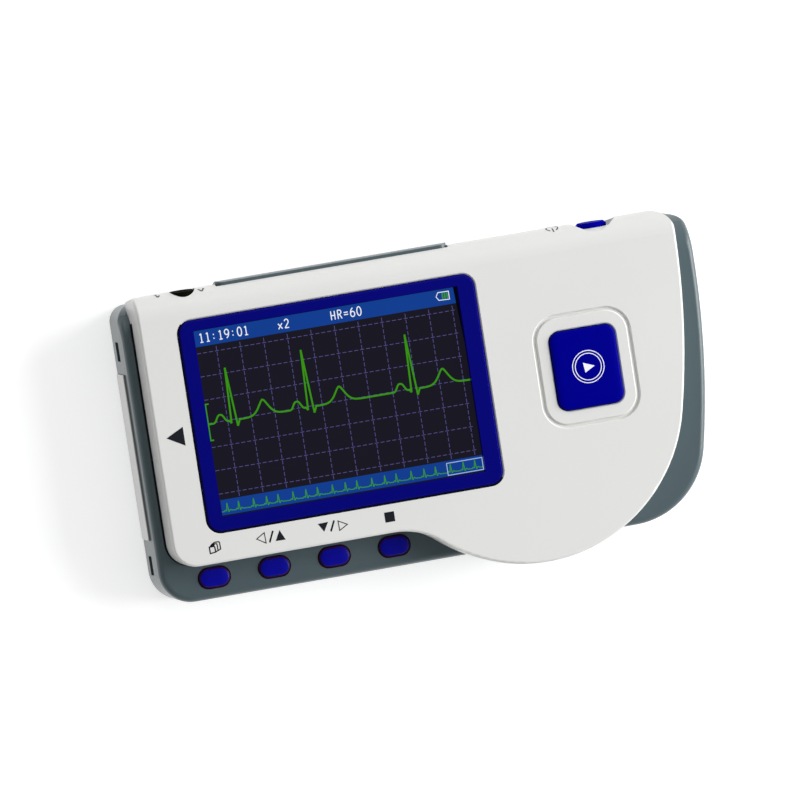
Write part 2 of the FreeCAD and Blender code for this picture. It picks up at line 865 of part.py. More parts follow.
def board_screw_spots():
    across, down = s.post_inset_x, s.post_inset_y
    return [(s.main_board_left + across, s.main_board_top - down),
            (s.main_board_step_x - down, s.main_board_top - down),
            (s.main_board_step_x - across, s.main_board_bottom + down)]


def display_screw_spots():
    inset = s.display_screw_inset
    return [(s.display_screw_x, s.display_board_top - inset),
            (s.display_screw_x, s.display_board_bottom + inset)]


def key_centres():
    return [(s.key_first_x + s.key_pitch * number, s.key_y) for number in range(4)]


def roof():
    """The underside of the front cover's face."""
    return s.cover_face - s.cover_wall


def lcd_bottom():
    return roof() - s.lcd_thick


def display_board_level():
    return lcd_bottom() - s.board_thick


def plate_underside():
    return s.frame_face - s.frame_plate


def main_board_face():
    return s.main_board_level + s.board_thick


def corner_x(top, radius, right, right_y, side_radius):
    """Where a bowed side stands at the height at which its top corner starts."""
    rise = top - radius - right_y
    return right - rise * rise / (side_radius * 2)


# ----------------------------------------------------------------------------- casing
def grey_blank(body, low, high):
    """A slice of the grey housing, with its round shoulder and rounded front edge."""
    outline = new_sketch(body, "outline", lift=low)
    shell_outline(outline)
    pad(body, outline, high - low)
    shoulder = new_sketch(body, "shoulder", "YZ_Plane", s.shell_left - s.overshoot)
    beyond_arc_outline(shoulder, s.shell_top - s.shoulder_radius, s.frame_face - s.shoulder_radius,
                       s.shoulder_radius)
    pocket(body, shoulder, s.shell_right - s.shell_left + s.overshoot * 2, along=True)
    crest = s.shell_top - s.shoulder_radius
    foot = float(s.frame_face - s.shoulder_radius)

    def front_edge(edge):
        if float(high) > float(s.frame_face) - LOOSE:
            return lies_at(edge, "z", high) and not lies_at(edge, "y", crest)
        box = edge.BoundBox
        return abs(box.ZMin - foot) < LOOSE and abs(box.ZMax - float(high)) < LOOSE

    fillet(body, s.frame_edge_round, front_edge)
    belly = new_sketch(body, "belly", lift=low)
    belly_outline(belly, s.bulge_radius - s.belly_inset)
    pad(body, belly, high - low)


def rear_shell():
    """The grey back half: walls, battery bay, screw bosses and board posts."""
    body = new_body("rear_shell")
    grey_blank(body, size_of(0.0), s.parting_level)
    right = corner_x(s.shell_top, s.shell_corner_tr, s.shell_right, s.shell_right_y,
                     s.shell_side_radius)
    for name, x, side, radius in (("left_corner", s.shell_left, -1, s.shell_corner_tl),
                                  ("right_corner", right, 1, s.shell_corner_tr)):
        sketch = new_sketch(body, name)
        corner_outline(sketch, x, s.shell_top, side, radius)
        pocket(body, sketch, s.parting_level, along=True)
    chamfer(body, s.back_bevel, lambda edge: lies_at(edge, "z", 0.0))
    hollow = new_sketch(body, "hollow", lift=s.shell_wall)
    shell_outline(hollow, s.shell_wall, s.shell_top - s.shell_wall * 2.3)
    pocket(body, hollow, s.parting_level - s.shell_wall, along=True)
    bay_block(body)
    boss_low, boss_high = s.shell_wall, s.parting_level
    add_posts(body, "bosses", case_screw_spots(), s.boss_half, boss_low, boss_high)
    cut_holes(body, "screw_sinks", case_screw_spots(), s.screw_head_radius + s.screw_gap,
              size_of(0.0), s.screw_sink + s.screw_head_thick)
    cut_ways(body, "screw_ways", case_screw_spots(), s.screw_radius + s.screw_gap / 2,
             s.screw_sink, s.parting_level)
    add_posts(body, "posts", board_screw_spots(), s.post_half, s.shell_wall, s.main_board_level)
    cut_ways(body, "post_ways", board_screw_spots(), s.board_screw_radius,
             s.shell_wall + 1.0, s.main_board_level)
    sound = new_sketch(body, "sound_slots")
    reach, half = s.sound_slot / 2, s.sound_slot_width / 2
    for number in range(4):
        y = s.buzzer_y + s.sound_pitch * (number - 1.5)
        rectangle(sound, s.buzzer_x - reach, s.buzzer_x + reach, y - half, y + half)
    pocket(body, sound, s.shell_wall, along=True)
    electrode_seats(body)
    strap_slots(body)
    return body


def bay_block(body):
    """The walls of the battery bay, its open floor and the door's recess."""
    wall = s.bay_wall
    left, right, bottom = s.bay_left - wall, s.bay_right + wall, s.bay_bottom - wall
    block = new_sketch(body, "bay_block")
    rectangle(block, left, right, bottom, s.bay_top)
    pad(body, block, s.parting_level)
    crown = new_sketch(body, "bay_crown", lift=s.parting_level)
    rectangle(crown, left, right, bottom, s.bay_top - 2.3)
    pad(body, crown, plate_underside() - s.parting_level)
    cut_box(body, "bay", s.bay_left, s.bay_right, s.bay_bottom, s.bay_top, size_of(0.0),
            plate_underside())
    gap = s.door_gap
    cut_box(body, "door_seat", door_left() - gap, door_right() + gap, door_bottom() - gap,
            s.shell_top + 1.0, size_of(0.0), s.door_thick + s.parting_gap)


def door_left():
    return s.bay_left - s.door_margin


def door_right():
    return s.bay_right + s.door_margin


def door_bottom():
    return s.bay_bottom - s.door_margin


def electrode_seats(body):
    """Shallow seats for the three metal plates, and a slit for each plate's tab."""
    gap, depth = s.plate_gap, s.plate_inset
    cut_box(body, "left_seat", s.shell_left - 1.0, s.shell_left + depth + gap,
            s.left_plate_bottom - gap, s.left_plate_top + gap, s.plate_low - gap,
            s.plate_high + gap)
    half = s.tab_width / 2 + gap
    middle = (s.plate_low + s.plate_high) / 2
    slit = s.tab_thick / 2 + gap
    cut_box(body, "left_slit", s.shell_left, s.shell_left + s.shell_wall + 0.1,
            s.left_tab_y - half, s.left_tab_y + half, middle - slit, middle + slit)
    seat = new_sketch(body, "right_seat", lift=s.plate_low - gap)
    side_band(seat, s.shell_side_radius - depth - gap, s.shell_side_radius + 1.0,
              s.right_plate_bottom - gap, s.right_plate_top + gap)
    pocket(body, seat, s.plate_high - s.plate_low + gap * 2, along=True)
    cut_box(body, "right_slit", s.shell_right - s.shell_wall - 1.6, s.shell_right,
            s.right_tab_y - half, s.right_tab_y + half, middle - slit, middle + slit)
    plate = new_sketch(body, "back_seat")
    x, y = s.back_plate_x, s.back_plate_y
    across, up = s.back_plate_length / 2 + gap, s.back_plate_height / 2 + gap
    rounded_rectangle(plate, x - across, x + across, y - up, y + up, s.back_plate_corner + gap)
    pocket(body, plate, s.back_plate_thick + gap, along=True)
    cut_box(body, "back_slit", x - half, x + half, s.back_plate_y - up + 0.4,
            s.back_plate_y - up + 0.4 + s.tab_thick + gap * 2, size_of(0.0), s.shell_wall + 0.1)


def side_band(sketch, inner, outer, bottom, top):
    """A strip along the bowed right side between two radii and two heights."""
    cx, cy = s.shell_right - s.shell_side_radius, s.shell_right_y
    def reach(radius, y):
        rise = y - cy
        return cx + (radius * radius - rise * rise).root()
    walk = Walk(sketch)
    low = walk.line((reach(inner, bottom), bottom), (reach(outer, bottom), bottom), sharp=True)
    far = walk.arc((cx, cy), (reach(outer, bottom), bottom), (reach(outer, top), top), sharp=True)
    high = walk.line((reach(outer, top), top), (reach(inner, top), top), sharp=True)
    near = walk.arc((cx, cy), (reach(inner, top), top), (reach(inner, bottom), bottom),
                    clockwise=True, sharp=True)
    walk.close()
    sketch.addConstraint(Sketcher.Constraint("Horizontal", low))
    sketch.addConstraint(Sketcher.Constraint("Horizontal", high))
    pin(sketch, low, START, y=bottom)
    pin(sketch, high, START, y=top)
    pin(sketch, far, CENTRE, cx, cy)
    pin(sketch, near, CENTRE, cx, cy)
    bind_constraint(sketch, "Radius", inner, near)
    bind_constraint(sketch, "Radius", outer, far)


def strap_slots(body):
    """Two small rectangular slots in the left end, above and below the metal plate."""
    half, rise = s.slot_length / 2, s.slot_height / 2
    for name, y in (("upper_slot", s.slot_upper_y), ("lower_slot", s.slot_lower_y)):
        cut_box(body, name, s.shell_left - 1.0, s.shell_left + s.slot_depth, y - half, y + half,
                s.slot_level - rise, s.slot_level + rise)


def mid_frame():
    """The grey front frame: its rim is the ledge that carries the four oval keys."""
    body = new_body("mid_frame")
    low = s.parting_level + s.parting_gap
    grey_blank(body, low, s.frame_face)
    hollow = new_sketch(body, "hollow", lift=low)
    shell_outline(hollow, s.shell_wall, s.bay_top - 2.2)
    pocket(body, hollow, plate_underside() - low, along=True)
    window = new_sketch(body, "window", lift=plate_underside())
    rounded_rectangle(window, s.window_left, s.window_right, s.window_bottom, s.window_top,
                      s.window_corner)
    pocket(body, window, s.frame_plate, along=True)
    keys = new_sketch(body, "key_holes", lift=plate_underside())
    for x, y in key_centres():
        stadium(keys, x, y, s.key_length + s.key_gap * 2, s.key_height + s.key_gap * 2)
    pocket(body, keys, s.frame_plate, along=True)
    cut_ways(body, "screw_ways", case_screw_spots(), s.screw_radius + s.screw_gap / 2, low,
             s.frame_face)
    half = s.jack_body_width / 2 + 0.7
    cut_box(body, "jack_notch", s.jack_x - half, s.jack_x + half, s.jack_body_back - 0.3,
            s.shell_top + 1.0, low, s.frame_face)
    half = s.power_radius + s.power_flange + 1.2
    cut_box(body, "power_notch", s.power_x - half, s.power_x + half, power_switch_back() - 0.3,
            s.shell_top + 1.0, low, s.frame_face)
    side, rise = s.window_left - s.pad_inset, s.window_top + s.pad_rise
    pads = [(side, s.window_bottom), (side, rise), (s.power_x, rise),
            (s.bay_right, s.bay_top - s.pad_rise)]
    add_posts(body, "board_pads", pads, s.pad_half, s.frame_face, display_board_level())
    return body


def front_cover():
    """The white front: a flat face with a rolled top edge that wraps over the top side."""
    body = new_body("front_cover")
    outline = new_sketch(body, "outline", lift=s.skirt_low)
    cover_outline(outline)
    pad(body, outline, s.cover_face - s.skirt_low)
    span = s.cover_right - s.cover_left + s.overshoot * 2
    under = new_sketch(body, "underside", "YZ_Plane", s.cover_left - s.overshoot)
    under_shoulder_outline(under, 0.05)
    pocket(body, under, span, along=True)
    roll = new_sketch(body, "roll", "YZ_Plane", s.cover_left - s.overshoot)
    crest = s.cover_top - s.roll_radius
    beyond_arc_outline(roll, crest, s.cover_face - s.roll_radius, s.roll_radius)
    pocket(body, roll, span, along=True)
    fillet(body, s.cover_edge_round, lambda edge: lies_at(edge, "z", s.cover_face)
           and not lies_at(edge, "y", crest))
    slope = new_sketch(body, "top_slope", "YZ_Plane", s.cover_left - s.overshoot)
    below, far = s.skirt_low - 1.0, s.cover_top + 1.0
    polygon(slope, [(s.cover_top, widest()), (top_side(below), below), (far, below),
                    (far, widest())])
    pocket(body, slope, span, along=True)
    right = corner_x(s.cover_top, s.cover_corner_tr, s.cover_right, s.cover_right_y,
                     s.cover_side_radius)
    for name, x, side, radius in (("left_corner", s.cover_left, -1, s.cover_corner_tl),
                                  ("right_corner", right, 1, s.cover_corner_tr)):
        sketch = new_sketch(body, name, lift=s.skirt_low - 1.0)
        corner_outline(sketch, x, s.cover_top, side, radius)
        pocket(body, sketch, s.cover_face - s.skirt_low + 2.0, along=True)
    cover_cavity(body)
    cover_openings(body)
    add_posts(body, "bosses", case_screw_spots(), s.cover_boss_half, s.frame_face, roof())
    cut_ways(body, "boss_ways", case_screw_spots(), s.screw_radius, s.frame_face - 1.0,
             s.frame_face + s.screw_reach)
    add_posts(body, "board_bosses", display_screw_spots(), s.post_half, lcd_bottom(), roof())
    cut_ways(body, "board_ways", display_screw_spots(), s.board_screw_radius, lcd_bottom(),
             roof() - 0.3)
    return body


def widest():
    """The level at which the rolled top edge stands out furthest."""
    return s.cover_face - s.roll_radius


def top_side(level):
    """How far out the top side stands at a level under its widest one."""
    return s.cover_top - s.top_slope * (widest() - level)


def door_inner():
    """The inner face of the battery door's upright wall, just outside the grey housing."""
    return s.shell_top + s.door_gap


def cover_cavity(body):
    """The room behind the cover's face, with local pockets for the socket and power switch."""
    left, bottom = s.cover_left + s.cover_wall, s.cover_bottom + s.cover_wall
    right, top = s.cover_right - s.cavity_side, s.cavity_top
    corner, sweep = s.cover_corner_bl - s.cover_wall, s.cavity_sweep
    sketch = new_sketch(body, "cavity", lift=s.frame_face - 0.2)
    walk = Walk(sketch)
    low = walk.line((left + corner, bottom), (right - sweep, bottom))
    turn = walk.arc((right - sweep, bottom + sweep), (right - sweep, bottom),
                    (right, bottom + sweep))
    side = walk.line((right, bottom + sweep), (right, top), sharp=True)
    high = walk.line((right, top), (left, top), sharp=True)
    back = walk.line((left, top), (left, bottom + corner))
    small = walk.arc((left + corner, bottom + corner), (left, bottom + corner),
                     (left + corner, bottom))
    walk.close()
    for line in (low, high):
        sketch.addConstraint(Sketcher.Constraint("Horizontal", line))
    for line in (side, back):
        sketch.addConstraint(Sketcher.Constraint("Vertical", line))
    pin(sketch, low, START, y=bottom)
    pin(sketch, side, END, right, top)
    pin(sketch, back, START, x=left)
    bind_constraint(sketch, "Radius", sweep, turn)
    bind_constraint(sketch, "Radius", corner, small)
    pocket(body, sketch, roof() - s.frame_face + 0.2, along=True)
    half = s.jack_body_width / 2 + 0.7
    cut_box(body, "jack_room", s.jack_x - half, s.jack_x + half, s.jack_body_back - 0.3,
            top, s.parting_level, s.frame_face)
    half = s.power_radius + s.power_flange + 1.2
    cut_box(body, "power_room", s.power_x - half, s.power_x + half, power_switch_back() - 0.3,
            top, s.parting_level - 0.5, s.frame_face)


def power_back():
    """The inner end of the power button, just outside its switch."""
    return s.cavity_top - s.power_flange_thick - 0.35


def cover_openings(body):
    """Display recess and window, button holes, the ring around the start button, the
    power button's dish, the socket's hole and the seat of the battery door's lip."""
    gap = s.flange_clear
    seat = s.cover_face - s.bezel_seat
    across, up = s.bezel_length / 2 + gap, s.bezel_height / 2 + gap
    recess = new_sketch(body, "bezel_seat", lift=seat)
    rounded_rectangle(recess, s.bezel_x - across, s.bezel_x + across, s.bezel_y - up,
                      s.bezel_y + up, s.bezel_corner + gap)
    pocket(body, recess, s.bezel_seat, along=True)
    across, up = lens_half_length() + gap, lens_half_height() + gap
    window = new_sketch(body, "window", lift=roof())
    rounded_rectangle(window, picture_x() - across, picture_x() + across, s.picture_y - up,
                      s.picture_y + up, s.lens_round + gap)
    pocket(body, window, seat - roof(), along=True)
    across, up = s.start_length / 2 + s.start_gap, s.start_height / 2 + s.start_gap
    button = new_sketch(body, "start_hole", lift=roof())
    rounded_rectangle(button, s.start_x - across, s.start_x + across, s.start_y - up,
                      s.start_y + up, s.start_corner + s.start_gap)
    pocket(body, button, s.cover_wall, along=True)
    ring = new_sketch(body, "ring", lift=s.cover_face - s.ring_depth)
    for shrink in (0.0, s.ring_width):
        across, up = s.ring_length / 2 - shrink, s.ring_height / 2 - shrink
        rounded_rectangle(ring, s.start_x - across, s.start_x + across, s.start_y - up,
                          s.start_y + up, s.ring_corner - shrink)
    pocket(body, ring, s.ring_depth, along=True)
    chamfer(body, s.rim_bevel, inner_rim)
    power_dish(body)
    hole = new_sketch(body, "power_hole", "XZ_Plane", -s.cavity_top + 1.0)
    disc(hole, s.power_x, s.power_level, s.power_radius + s.power_gap)
    pocket(body, hole, s.cover_top - s.cavity_top + 2.0)
    jack = new_sketch(body, "jack_hole", "XZ_Plane", -s.jack_body_front + 0.5)
    upright_slot(jack, s.jack_x, s.jack_level, s.jack_level + s.jack_crown,
                 s.jack_collar + s.jack_gap)
    pocket(body, jack, s.cover_top - s.jack_body_front + 2.0)
    lip = new_sketch(body, "lip_seat", "YZ_Plane", door_left() - s.door_gap)
    lip_room(lip)
    pocket(body, lip, door_right() - door_left() + s.door_gap * 2, along=True)


def inner_rim(edge):
    """Whether an edge of the cover's face lies well within its border."""
    box, border = edge.BoundBox, 1.0
    return (lies_at(edge, "z", s.cover_face)
            and box.XMin > float(s.cover_left) + border
            and box.XMax < float(s.start_x + s.ring_length / 2) + border
            and box.YMin > float(s.cover_bottom) + border
            and box.YMax < float(s.cover_top - s.roll_radius) - border)


def power_dish(body):
    """A round hollow in the top side, turned about the power button's axis. Its floor falls
    away from the button, so that it runs out over the rolled edge."""
    sketch = new_sketch(body, "dish", "YZ_Plane", s.power_x)
    floor_y, over = s.cover_top - s.power_dish_depth, 1.0
    rim = s.power_level + s.power_dish_radius
    polygon(sketch, [(floor_y, s.power_level), (s.cover_top + over, s.power_level),
                     (s.cover_top + over, rim), (floor_y - s.power_dish_fall, rim),
                     (floor_y, s.power_level + s.power_dish_foot)])
    start = FreeCAD.Vector(float(floor_y), float(s.power_level), 0)
    axis = sketch.addGeometry(Part.LineSegment(start, start + FreeCAD.Vector(over, 0, 0)), True)
    pin(sketch, axis, START, floor_y, s.power_level)
    pin(sketch, axis, END, floor_y + over, s.power_level)
    feature = body.newObject("PartDesign::Groove", body.Name + "_dish_cut")
    feature.Profile = sketch
    feature.ReferenceAxis = (sketch, ["Axis0"])
    feature.Angle = 360.0
    document.recompute()


def picture_x():
    """The picture stands a little left of the bezel's middle."""
    return s.bezel_x - s.picture_shift


def lens_half_length():
    return s.picture_length / 2 + s.lens_margin


def lens_half_height():
    return s.picture_height / 2 + s.lens_margin / 2


def lip_room(sketch):
    """On the YZ plane: the shallow step in the cover's top side that takes the door's lip."""
    cy, cz = s.cover_top - s.roll_radius, widest()
    radius = s.roll_radius - s.lip_depth - s.plate_gap
    top = cz + s.lip_reach + s.door_gap
    rise = s.lip_reach + s.door_gap
    inner = cy + (radius * radius - rise * rise).root()
    low, far = s.skirt_low - 2.0, s.cover_top + 2.0
    root, bend = door_inner() - s.plate_gap, s.door_bend_level
    walk = Walk(sketch)
    base = walk.line((root, low), (far, low), sharp=True)
    side = walk.line((far, low), (far, top), sharp=True)
    over = walk.line((far, top), (inner, top), sharp=True)
    arc = walk.arc((cy, cz), (inner, top), (cy + radius, cz), clockwise=True, sharp=True)
    slant = walk.line((cy + radius, cz), (root, bend), sharp=True)
    wall = walk.line((root, bend), (root, low), sharp=True)
    walk.close()
    pin(sketch, slant, START, y=cz)
    pin(sketch, wall, START, root, bend)
    pin(sketch, base, START, root, low)
    pin(sketch, side, START, far, low)
    pin(sketch, over, START, far, top)
    pin(sketch, over, END, y=top)
    pin(sketch, arc, CENTRE, cy, cz)
    bind_constraint(sketch, "Radius", radius, arc)


def battery_door():
    """A flat panel in the back that turns up round the top side and ends in a curved lip."""
    body = new_body("battery_door")
    sketch = new_sketch(body, "profile", "YZ_Plane", door_left())
    cy, cz = s.cover_top - s.roll_radius, widest()
    outer, inner = s.roll_radius + s.lip_proud, s.roll_radius - s.lip_depth
    rise = s.lip_reach
    tip = cz + rise
    outer_tip = cy + (outer * outer - rise * rise).root()
    inner_tip = cy + (inner * inner - rise * rise).root()
    bend, inner_bend = s.door_heel, s.door_inner_bend
    thick, bottom = s.door_thick, door_bottom()
    root, root_z = door_inner(), thick + inner_bend
    foot = root + s.door_side
    walk = Walk(sketch)
    back = walk.line((bottom, 0.0), (foot - bend, 0.0))
    heel = walk.arc((foot - bend, bend), (foot - bend, 0.0), (foot, bend), sharp=True)
    face = walk.line((foot, bend), (foot, s.door_bend_level), sharp=True)
    slant = walk.line((foot, s.door_bend_level), (cy + outer, cz), sharp=True)
    roll = walk.arc((cy, cz), (cy + outer, cz), (outer_tip, tip), sharp=True)
    end = walk.line((outer_tip, tip), (inner_tip, tip), sharp=True)
    under = walk.arc((cy, cz), (inner_tip, tip), (cy + inner, cz), clockwise=True, sharp=True)
    inner_slant = walk.line((cy + inner, cz), (root, s.door_bend_level), sharp=True)
    wall = walk.line((root, s.door_bend_level), (root, root_z), sharp=True)
    bend_arc = walk.arc((root - inner_bend, root_z), (root, root_z), (root - inner_bend, thick),
                        clockwise=True)
    panel = walk.line((root - inner_bend, thick), (bottom, thick), sharp=True)
    edge = walk.line((bottom, thick), (bottom, 0.0), sharp=True)
    walk.close()
    sketch.addConstraint(Sketcher.Constraint("Horizontal", back))
    sketch.addConstraint(Sketcher.Constraint("Horizontal", panel))
    pin(sketch, back, START, bottom, 0.0)
    bind_constraint(sketch, "Radius", bend, heel)
    pin(sketch, face, START, foot, bend)
    pin(sketch, slant, START, foot, s.door_bend_level)
    pin(sketch, slant, END, y=cz)
    pin(sketch, roll, CENTRE, cy, cz)
    bind_constraint(sketch, "Radius", outer, roll)
    pin(sketch, end, START, y=tip)
    pin(sketch, end, END, y=tip)
    pin(sketch, under, CENTRE, cy, cz)
    bind_constraint(sketch, "Radius", inner, under)
    pin(sketch, inner_slant, START, y=cz)
    pin(sketch, wall, START, root, s.door_bend_level)
    pin(sketch, wall, END, root, root_z)
    bind_constraint(sketch, "Radius", inner_bend, bend_arc)
    pin(sketch, panel, END, bottom, thick)
    pad(body, sketch, door_right() - door_left())
    fillet(body, s.lip_corner, lambda edge: lies_at(edge, "z", tip)
           and edge.BoundBox.XLength < LOOSE)
    grip = new_sketch(body, "grip")
    middle, reach = (door_left() + door_right()) / 2, s.grip_length / 2
    for number in range(4):
        low = door_bottom() + s.grip_inset + s.grip_pitch * number
        rectangle(grip, middle - reach, middle + reach, low, low + s.grip_width)
    pocket(body, grip, s.grip_depth, along=True)
    return body


# ----------------------------------------------------------------------------- display
def display_bezel():
    """The blue frame around the display."""
    body = new_body("display_bezel")
    sketch = new_sketch(body, "outline", lift=s.cover_face - s.bezel_seat)
    across, up = s.bezel_length / 2, s.bezel_height / 2
    rounded_rectangle(sketch, s.bezel_x - across, s.bezel_x + across, s.bezel_y - up,
                      s.bezel_y + up, s.bezel_corner)
    pad(body, sketch, s.bezel_seat + s.bezel_proud)
    top = s.cover_face + s.bezel_proud
    chamfer(body, s.bezel_round, lambda edge: lies_at(edge, "z", top))
    across, up = s.picture_length / 2, s.picture_height / 2
    cut_box(body, "window", picture_x() - across, picture_x() + across, s.picture_y - up,
            s.picture_y + up, s.cover_face - s.bezel_seat, top)
    return body


def display_lens():
    body = new_body("display_lens")
    sketch = new_sketch(body, "outline", lift=roof())
    across, up = lens_half_length(), lens_half_height()
    rounded_rectangle(sketch, picture_x() - across, picture_x() + across, s.picture_y - up,
                      s.picture_y + up, s.lens_round)
    pad(body, sketch, s.cover_wall - s.bezel_seat)
    return body


def lcd_module():
    """The liquid crystal panel in its metal tray, with a flexible tail at one side."""
    across, up = s.lcd_length / 2, s.lcd_height / 2
    panel = box("lcd_panel", picture_x() - across, picture_x() + across, s.picture_y - 0.9 - up,
                s.picture_y - 0.9 + up, lcd_bottom(), roof())
    tail_low = s.picture_y - 0.9 - s.lcd_tail_length / 2
    tail = box("lcd_tail", picture_x() + across, picture_x() + across + 3.0, tail_low,
               tail_low + s.lcd_tail_length, lcd_bottom(), lcd_bottom() + 0.3)
    return join("lcd_module", [panel, tail])


# ----------------------------------------------------------------------------- buttons
def start_button():
    """The large blue key: a proud cap on a flange that the cover holds captive."""
    body = new_body("start_button")
    low = start_bottom()
    flange = new_sketch(body, "flange", lift=low)
    spread = s.start_flange
    across, up = s.start_length / 2 + spread, s.start_height / 2 + spread
    rectangle(flange, s.start_x - across, s.start_x + across, s.start_y - up, s.start_y + up)
    pad(body, flange, roof() - s.flange_clear - low)
    cap = new_sketch(body, "cap", lift=low)
    across, up = s.start_length / 2, s.start_height / 2
    rounded_rectangle(cap, s.start_x - across, s.start_x + across, s.start_y - up,
                      s.start_y + up, s.start_corner)
    top = s.cover_face + s.start_proud
    pad(body, cap, top - low)
    chamfer(body, s.start_round, lambda edge: lies_at(edge, "z", top))
    return body


def start_bottom():
    """The start button stands clear of its switch by a little more than its travel."""
    return lcd_bottom() + s.start_switch_thick + s.start_travel + 0.05


def key(label, x, y):
    """An oval key with a flange under the frame's ledge."""
    body = new_body(label)
    low = plate_underside() - 0.05 - s.key_flange_thick
    flange = new_sketch(body, "flange", lift=low)
    across, up = s.key_length / 2 + s.key_flange, s.key_height / 2 + s.key_flange
    rectangle(flange, x - across, x + across, y - up, y + up)
    pad(body, flange, s.key_flange_thick)
    cap = new_sketch(body, "cap", lift=low)
    stadium(cap, x, y, s.key_length, s.key_height)
    top = s.frame_face + s.key_proud
    pad(body, cap, top - low)
    chamfer(body, s.key_round, lambda edge: lies_at(edge, "z", top))
    return body


def power_button():
    """A round key in the dish of the top side, with a flange behind the wall."""
    body = new_body("power_button")
    back = power_back()
    flange = new_sketch(body, "flange", "XZ_Plane", -back)
    disc(flange, s.power_x, s.power_level, s.power_radius + s.power_flange)
    feature = pad(body, flange, s.power_flange_thick)
    feature.Reversed = True
    stem = new_sketch(body, "cap", "XZ_Plane", -back)
    disc(stem, s.power_x, s.power_level, s.power_radius)
    top = s.cover_top - s.power_sunk
    feature = pad(body, stem, top - back)
    feature.Reversed = True
    document.recompute()
    chamfer(body, s.power_round, lambda edge: lies_at(edge, "y", top))
    return body


# ----------------------------------------------------------------------------- electronics
def display_board():
    """The upper circuit board: it carries the display, start switch, socket and power switch."""
    body = new_body("display_board")
    level = display_board_level()
    sketch = new_sketch(body, "outline", lift=level)
    rounded_rectangle(sketch, s.display_board_left, s.display_board_right,
                      s.display_board_bottom, s.display_board_top, s.board_corner)
    pad(body, sketch, s.board_thick)
    half = s.jack_body_width / 2 + 0.1
    cut_box(body, "jack_notch", s.jack_x - half, s.jack_x + half, s.jack_body_back - 0.1,
            s.display_board_top + 1.0, level, lcd_bottom())
    half = s.power_switch_width / 2 + 0.1
    cut_box(body, "power_notch", s.power_x - half, s.power_x + half, power_switch_back() - 0.1,
            s.display_board_top + 1.0, level, lcd_bottom())
    cut_ways(body, "screw_ways", display_screw_spots(), s.board_screw_radius + 0.1, level,
             lcd_bottom())
    return body


def main_board():
    """The lower circuit board, stepped round the right-hand screw boss."""
    body = new_body("main_board")
    low = s.main_board_level
    sketch = new_sketch(body, "outline", lift=low)
    step_x, step_y = s.main_board_step_x, s.main_board_step_y
    polygon(sketch, [(s.main_board_left, s.main_board_bottom), (step_x, s.main_board_bottom),
                     (step_x, step_y), (s.main_board_right, step_y),
                     (s.main_board_right, s.main_board_top),
                     (s.main_board_left, s.main_board_top)])
    pad(body, sketch, s.board_thick)
    chamfer(body, s.board_corner, lambda edge: edge.BoundBox.ZLength > 0.5)
    half = s.boss_half + 0.3
    x, y = case_screw_spots()[0]
    cut_box(body, "boss_way", x - half, x + half, y - half, y + half, low, main_board_face())
    cut_ways(body, "screw_ways", board_screw_spots(), s.board_screw_radius + 0.1, low,
             main_board_face())
    return body


def key_switches():
    """Four low dome switches on the lower board, one under each oval key."""
    half = s.dome_length / 2
    parts = []
    for number, (x, y) in enumerate(key_centres()):
        low = main_board_face()
        can = box("key_switch_can_%d" % number, x - half, x + half, y - half * 0.8,
                  y + half * 0.8, low, low + dome_height() - 0.3)
        dome = prism("key_switch_dome_%d" % number, x, y, low + dome_height() - 0.3,
                     s.dome_length / 4, size_of(0.3), 8)
        parts.append(join("key_switch_%d" % number, [can, dome]))
    return group("key_switches", parts)


def dome_height():
    """Each dome ends just below the travel of its key."""
    bottom = plate_underside() - 0.05 - s.key_flange_thick
    return bottom - s.key_travel - 0.05 - main_board_face()


def start_switch():
    half = s.start_switch_size / 2
    low = lcd_bottom()
    can = box("start_switch_can", s.start_x - half, s.start_x + half, s.start_y - half,
              s.start_y + half, low, low + s.start_switch_thick - 0.3)
    stud = prism("start_switch_stud", s.start_x, s.start_y, low + s.start_switch_thick - 0.3,
                 half * 0.6, size_of(0.3), 8)
    return join("start_switch", [can, stud])


def power_switch_back():
    return power_back() - s.power_travel - 0.05 - 0.7 - s.power_switch_depth


def power_switch():
    """A side-pushed switch set in a notch of the upper board, on a flange under it."""
    half, rise = s.power_switch_width / 2, s.power_switch_height / 2
    back = power_switch_back()
    can = box("power_switch_can", s.power_x - half, s.power_x + half, back,
              back + s.power_switch_depth, s.power_level - rise, s.power_level + rise)
    plunger = rod("power_switch_plunger", s.power_x, back + s.power_switch_depth,
                  s.power_level, s.power_plunger_radius, size_of(0.7), along="y")
    wing = box("power_switch_wing", s.power_x - half - 1.2, s.power_x + half + 1.2, back,
               back + s.power_switch_depth - 0.8, s.power_level - rise, display_board_level())
    return join("power_switch", [can, plunger, wing])


def lead_socket():
    """The socket for the lead cable: a body in the board's notch, an upright oblong collar
    through the cover's rolled edge and one blind bore."""
    half = s.jack_body_width / 2
    front = s.jack_body_front
    body = box("socket_body", s.jack_x - half, s.jack_x + half, s.jack_body_back, front,
               s.jack_body_low, s.jack_body_top)
    wide, wing_back = half + s.jack_wing_width, s.jack_body_back + s.jack_wing_width
    wings = box("socket_wings", s.jack_x - wide, s.jack_x + wide, wing_back,
                wing_back + s.jack_wing_length, display_board_level() - s.jack_wing_thick,
                display_board_level())
    foot, length, side = front - 0.5, s.jack_end - front + 0.5, s.jack_collar
    crown = s.jack_level + s.jack_crown
    collar = [rod("socket_collar", s.jack_x, foot, s.jack_level, side, length, along="y"),
              rod("socket_crown", s.jack_x, foot, crown, side, length, along="y"),
              box("socket_cheeks", s.jack_x - side, s.jack_x + side, foot, s.jack_end,
                  s.jack_level, crown)]
    whole = join("socket_whole", [body, wings] + collar)
    bore = rod("socket_bore", s.jack_x, s.jack_end - s.jack_depth, s.jack_level, s.jack_bore,
               s.jack_depth + 0.5, along="y")
    return cut("lead_socket", whole, bore)


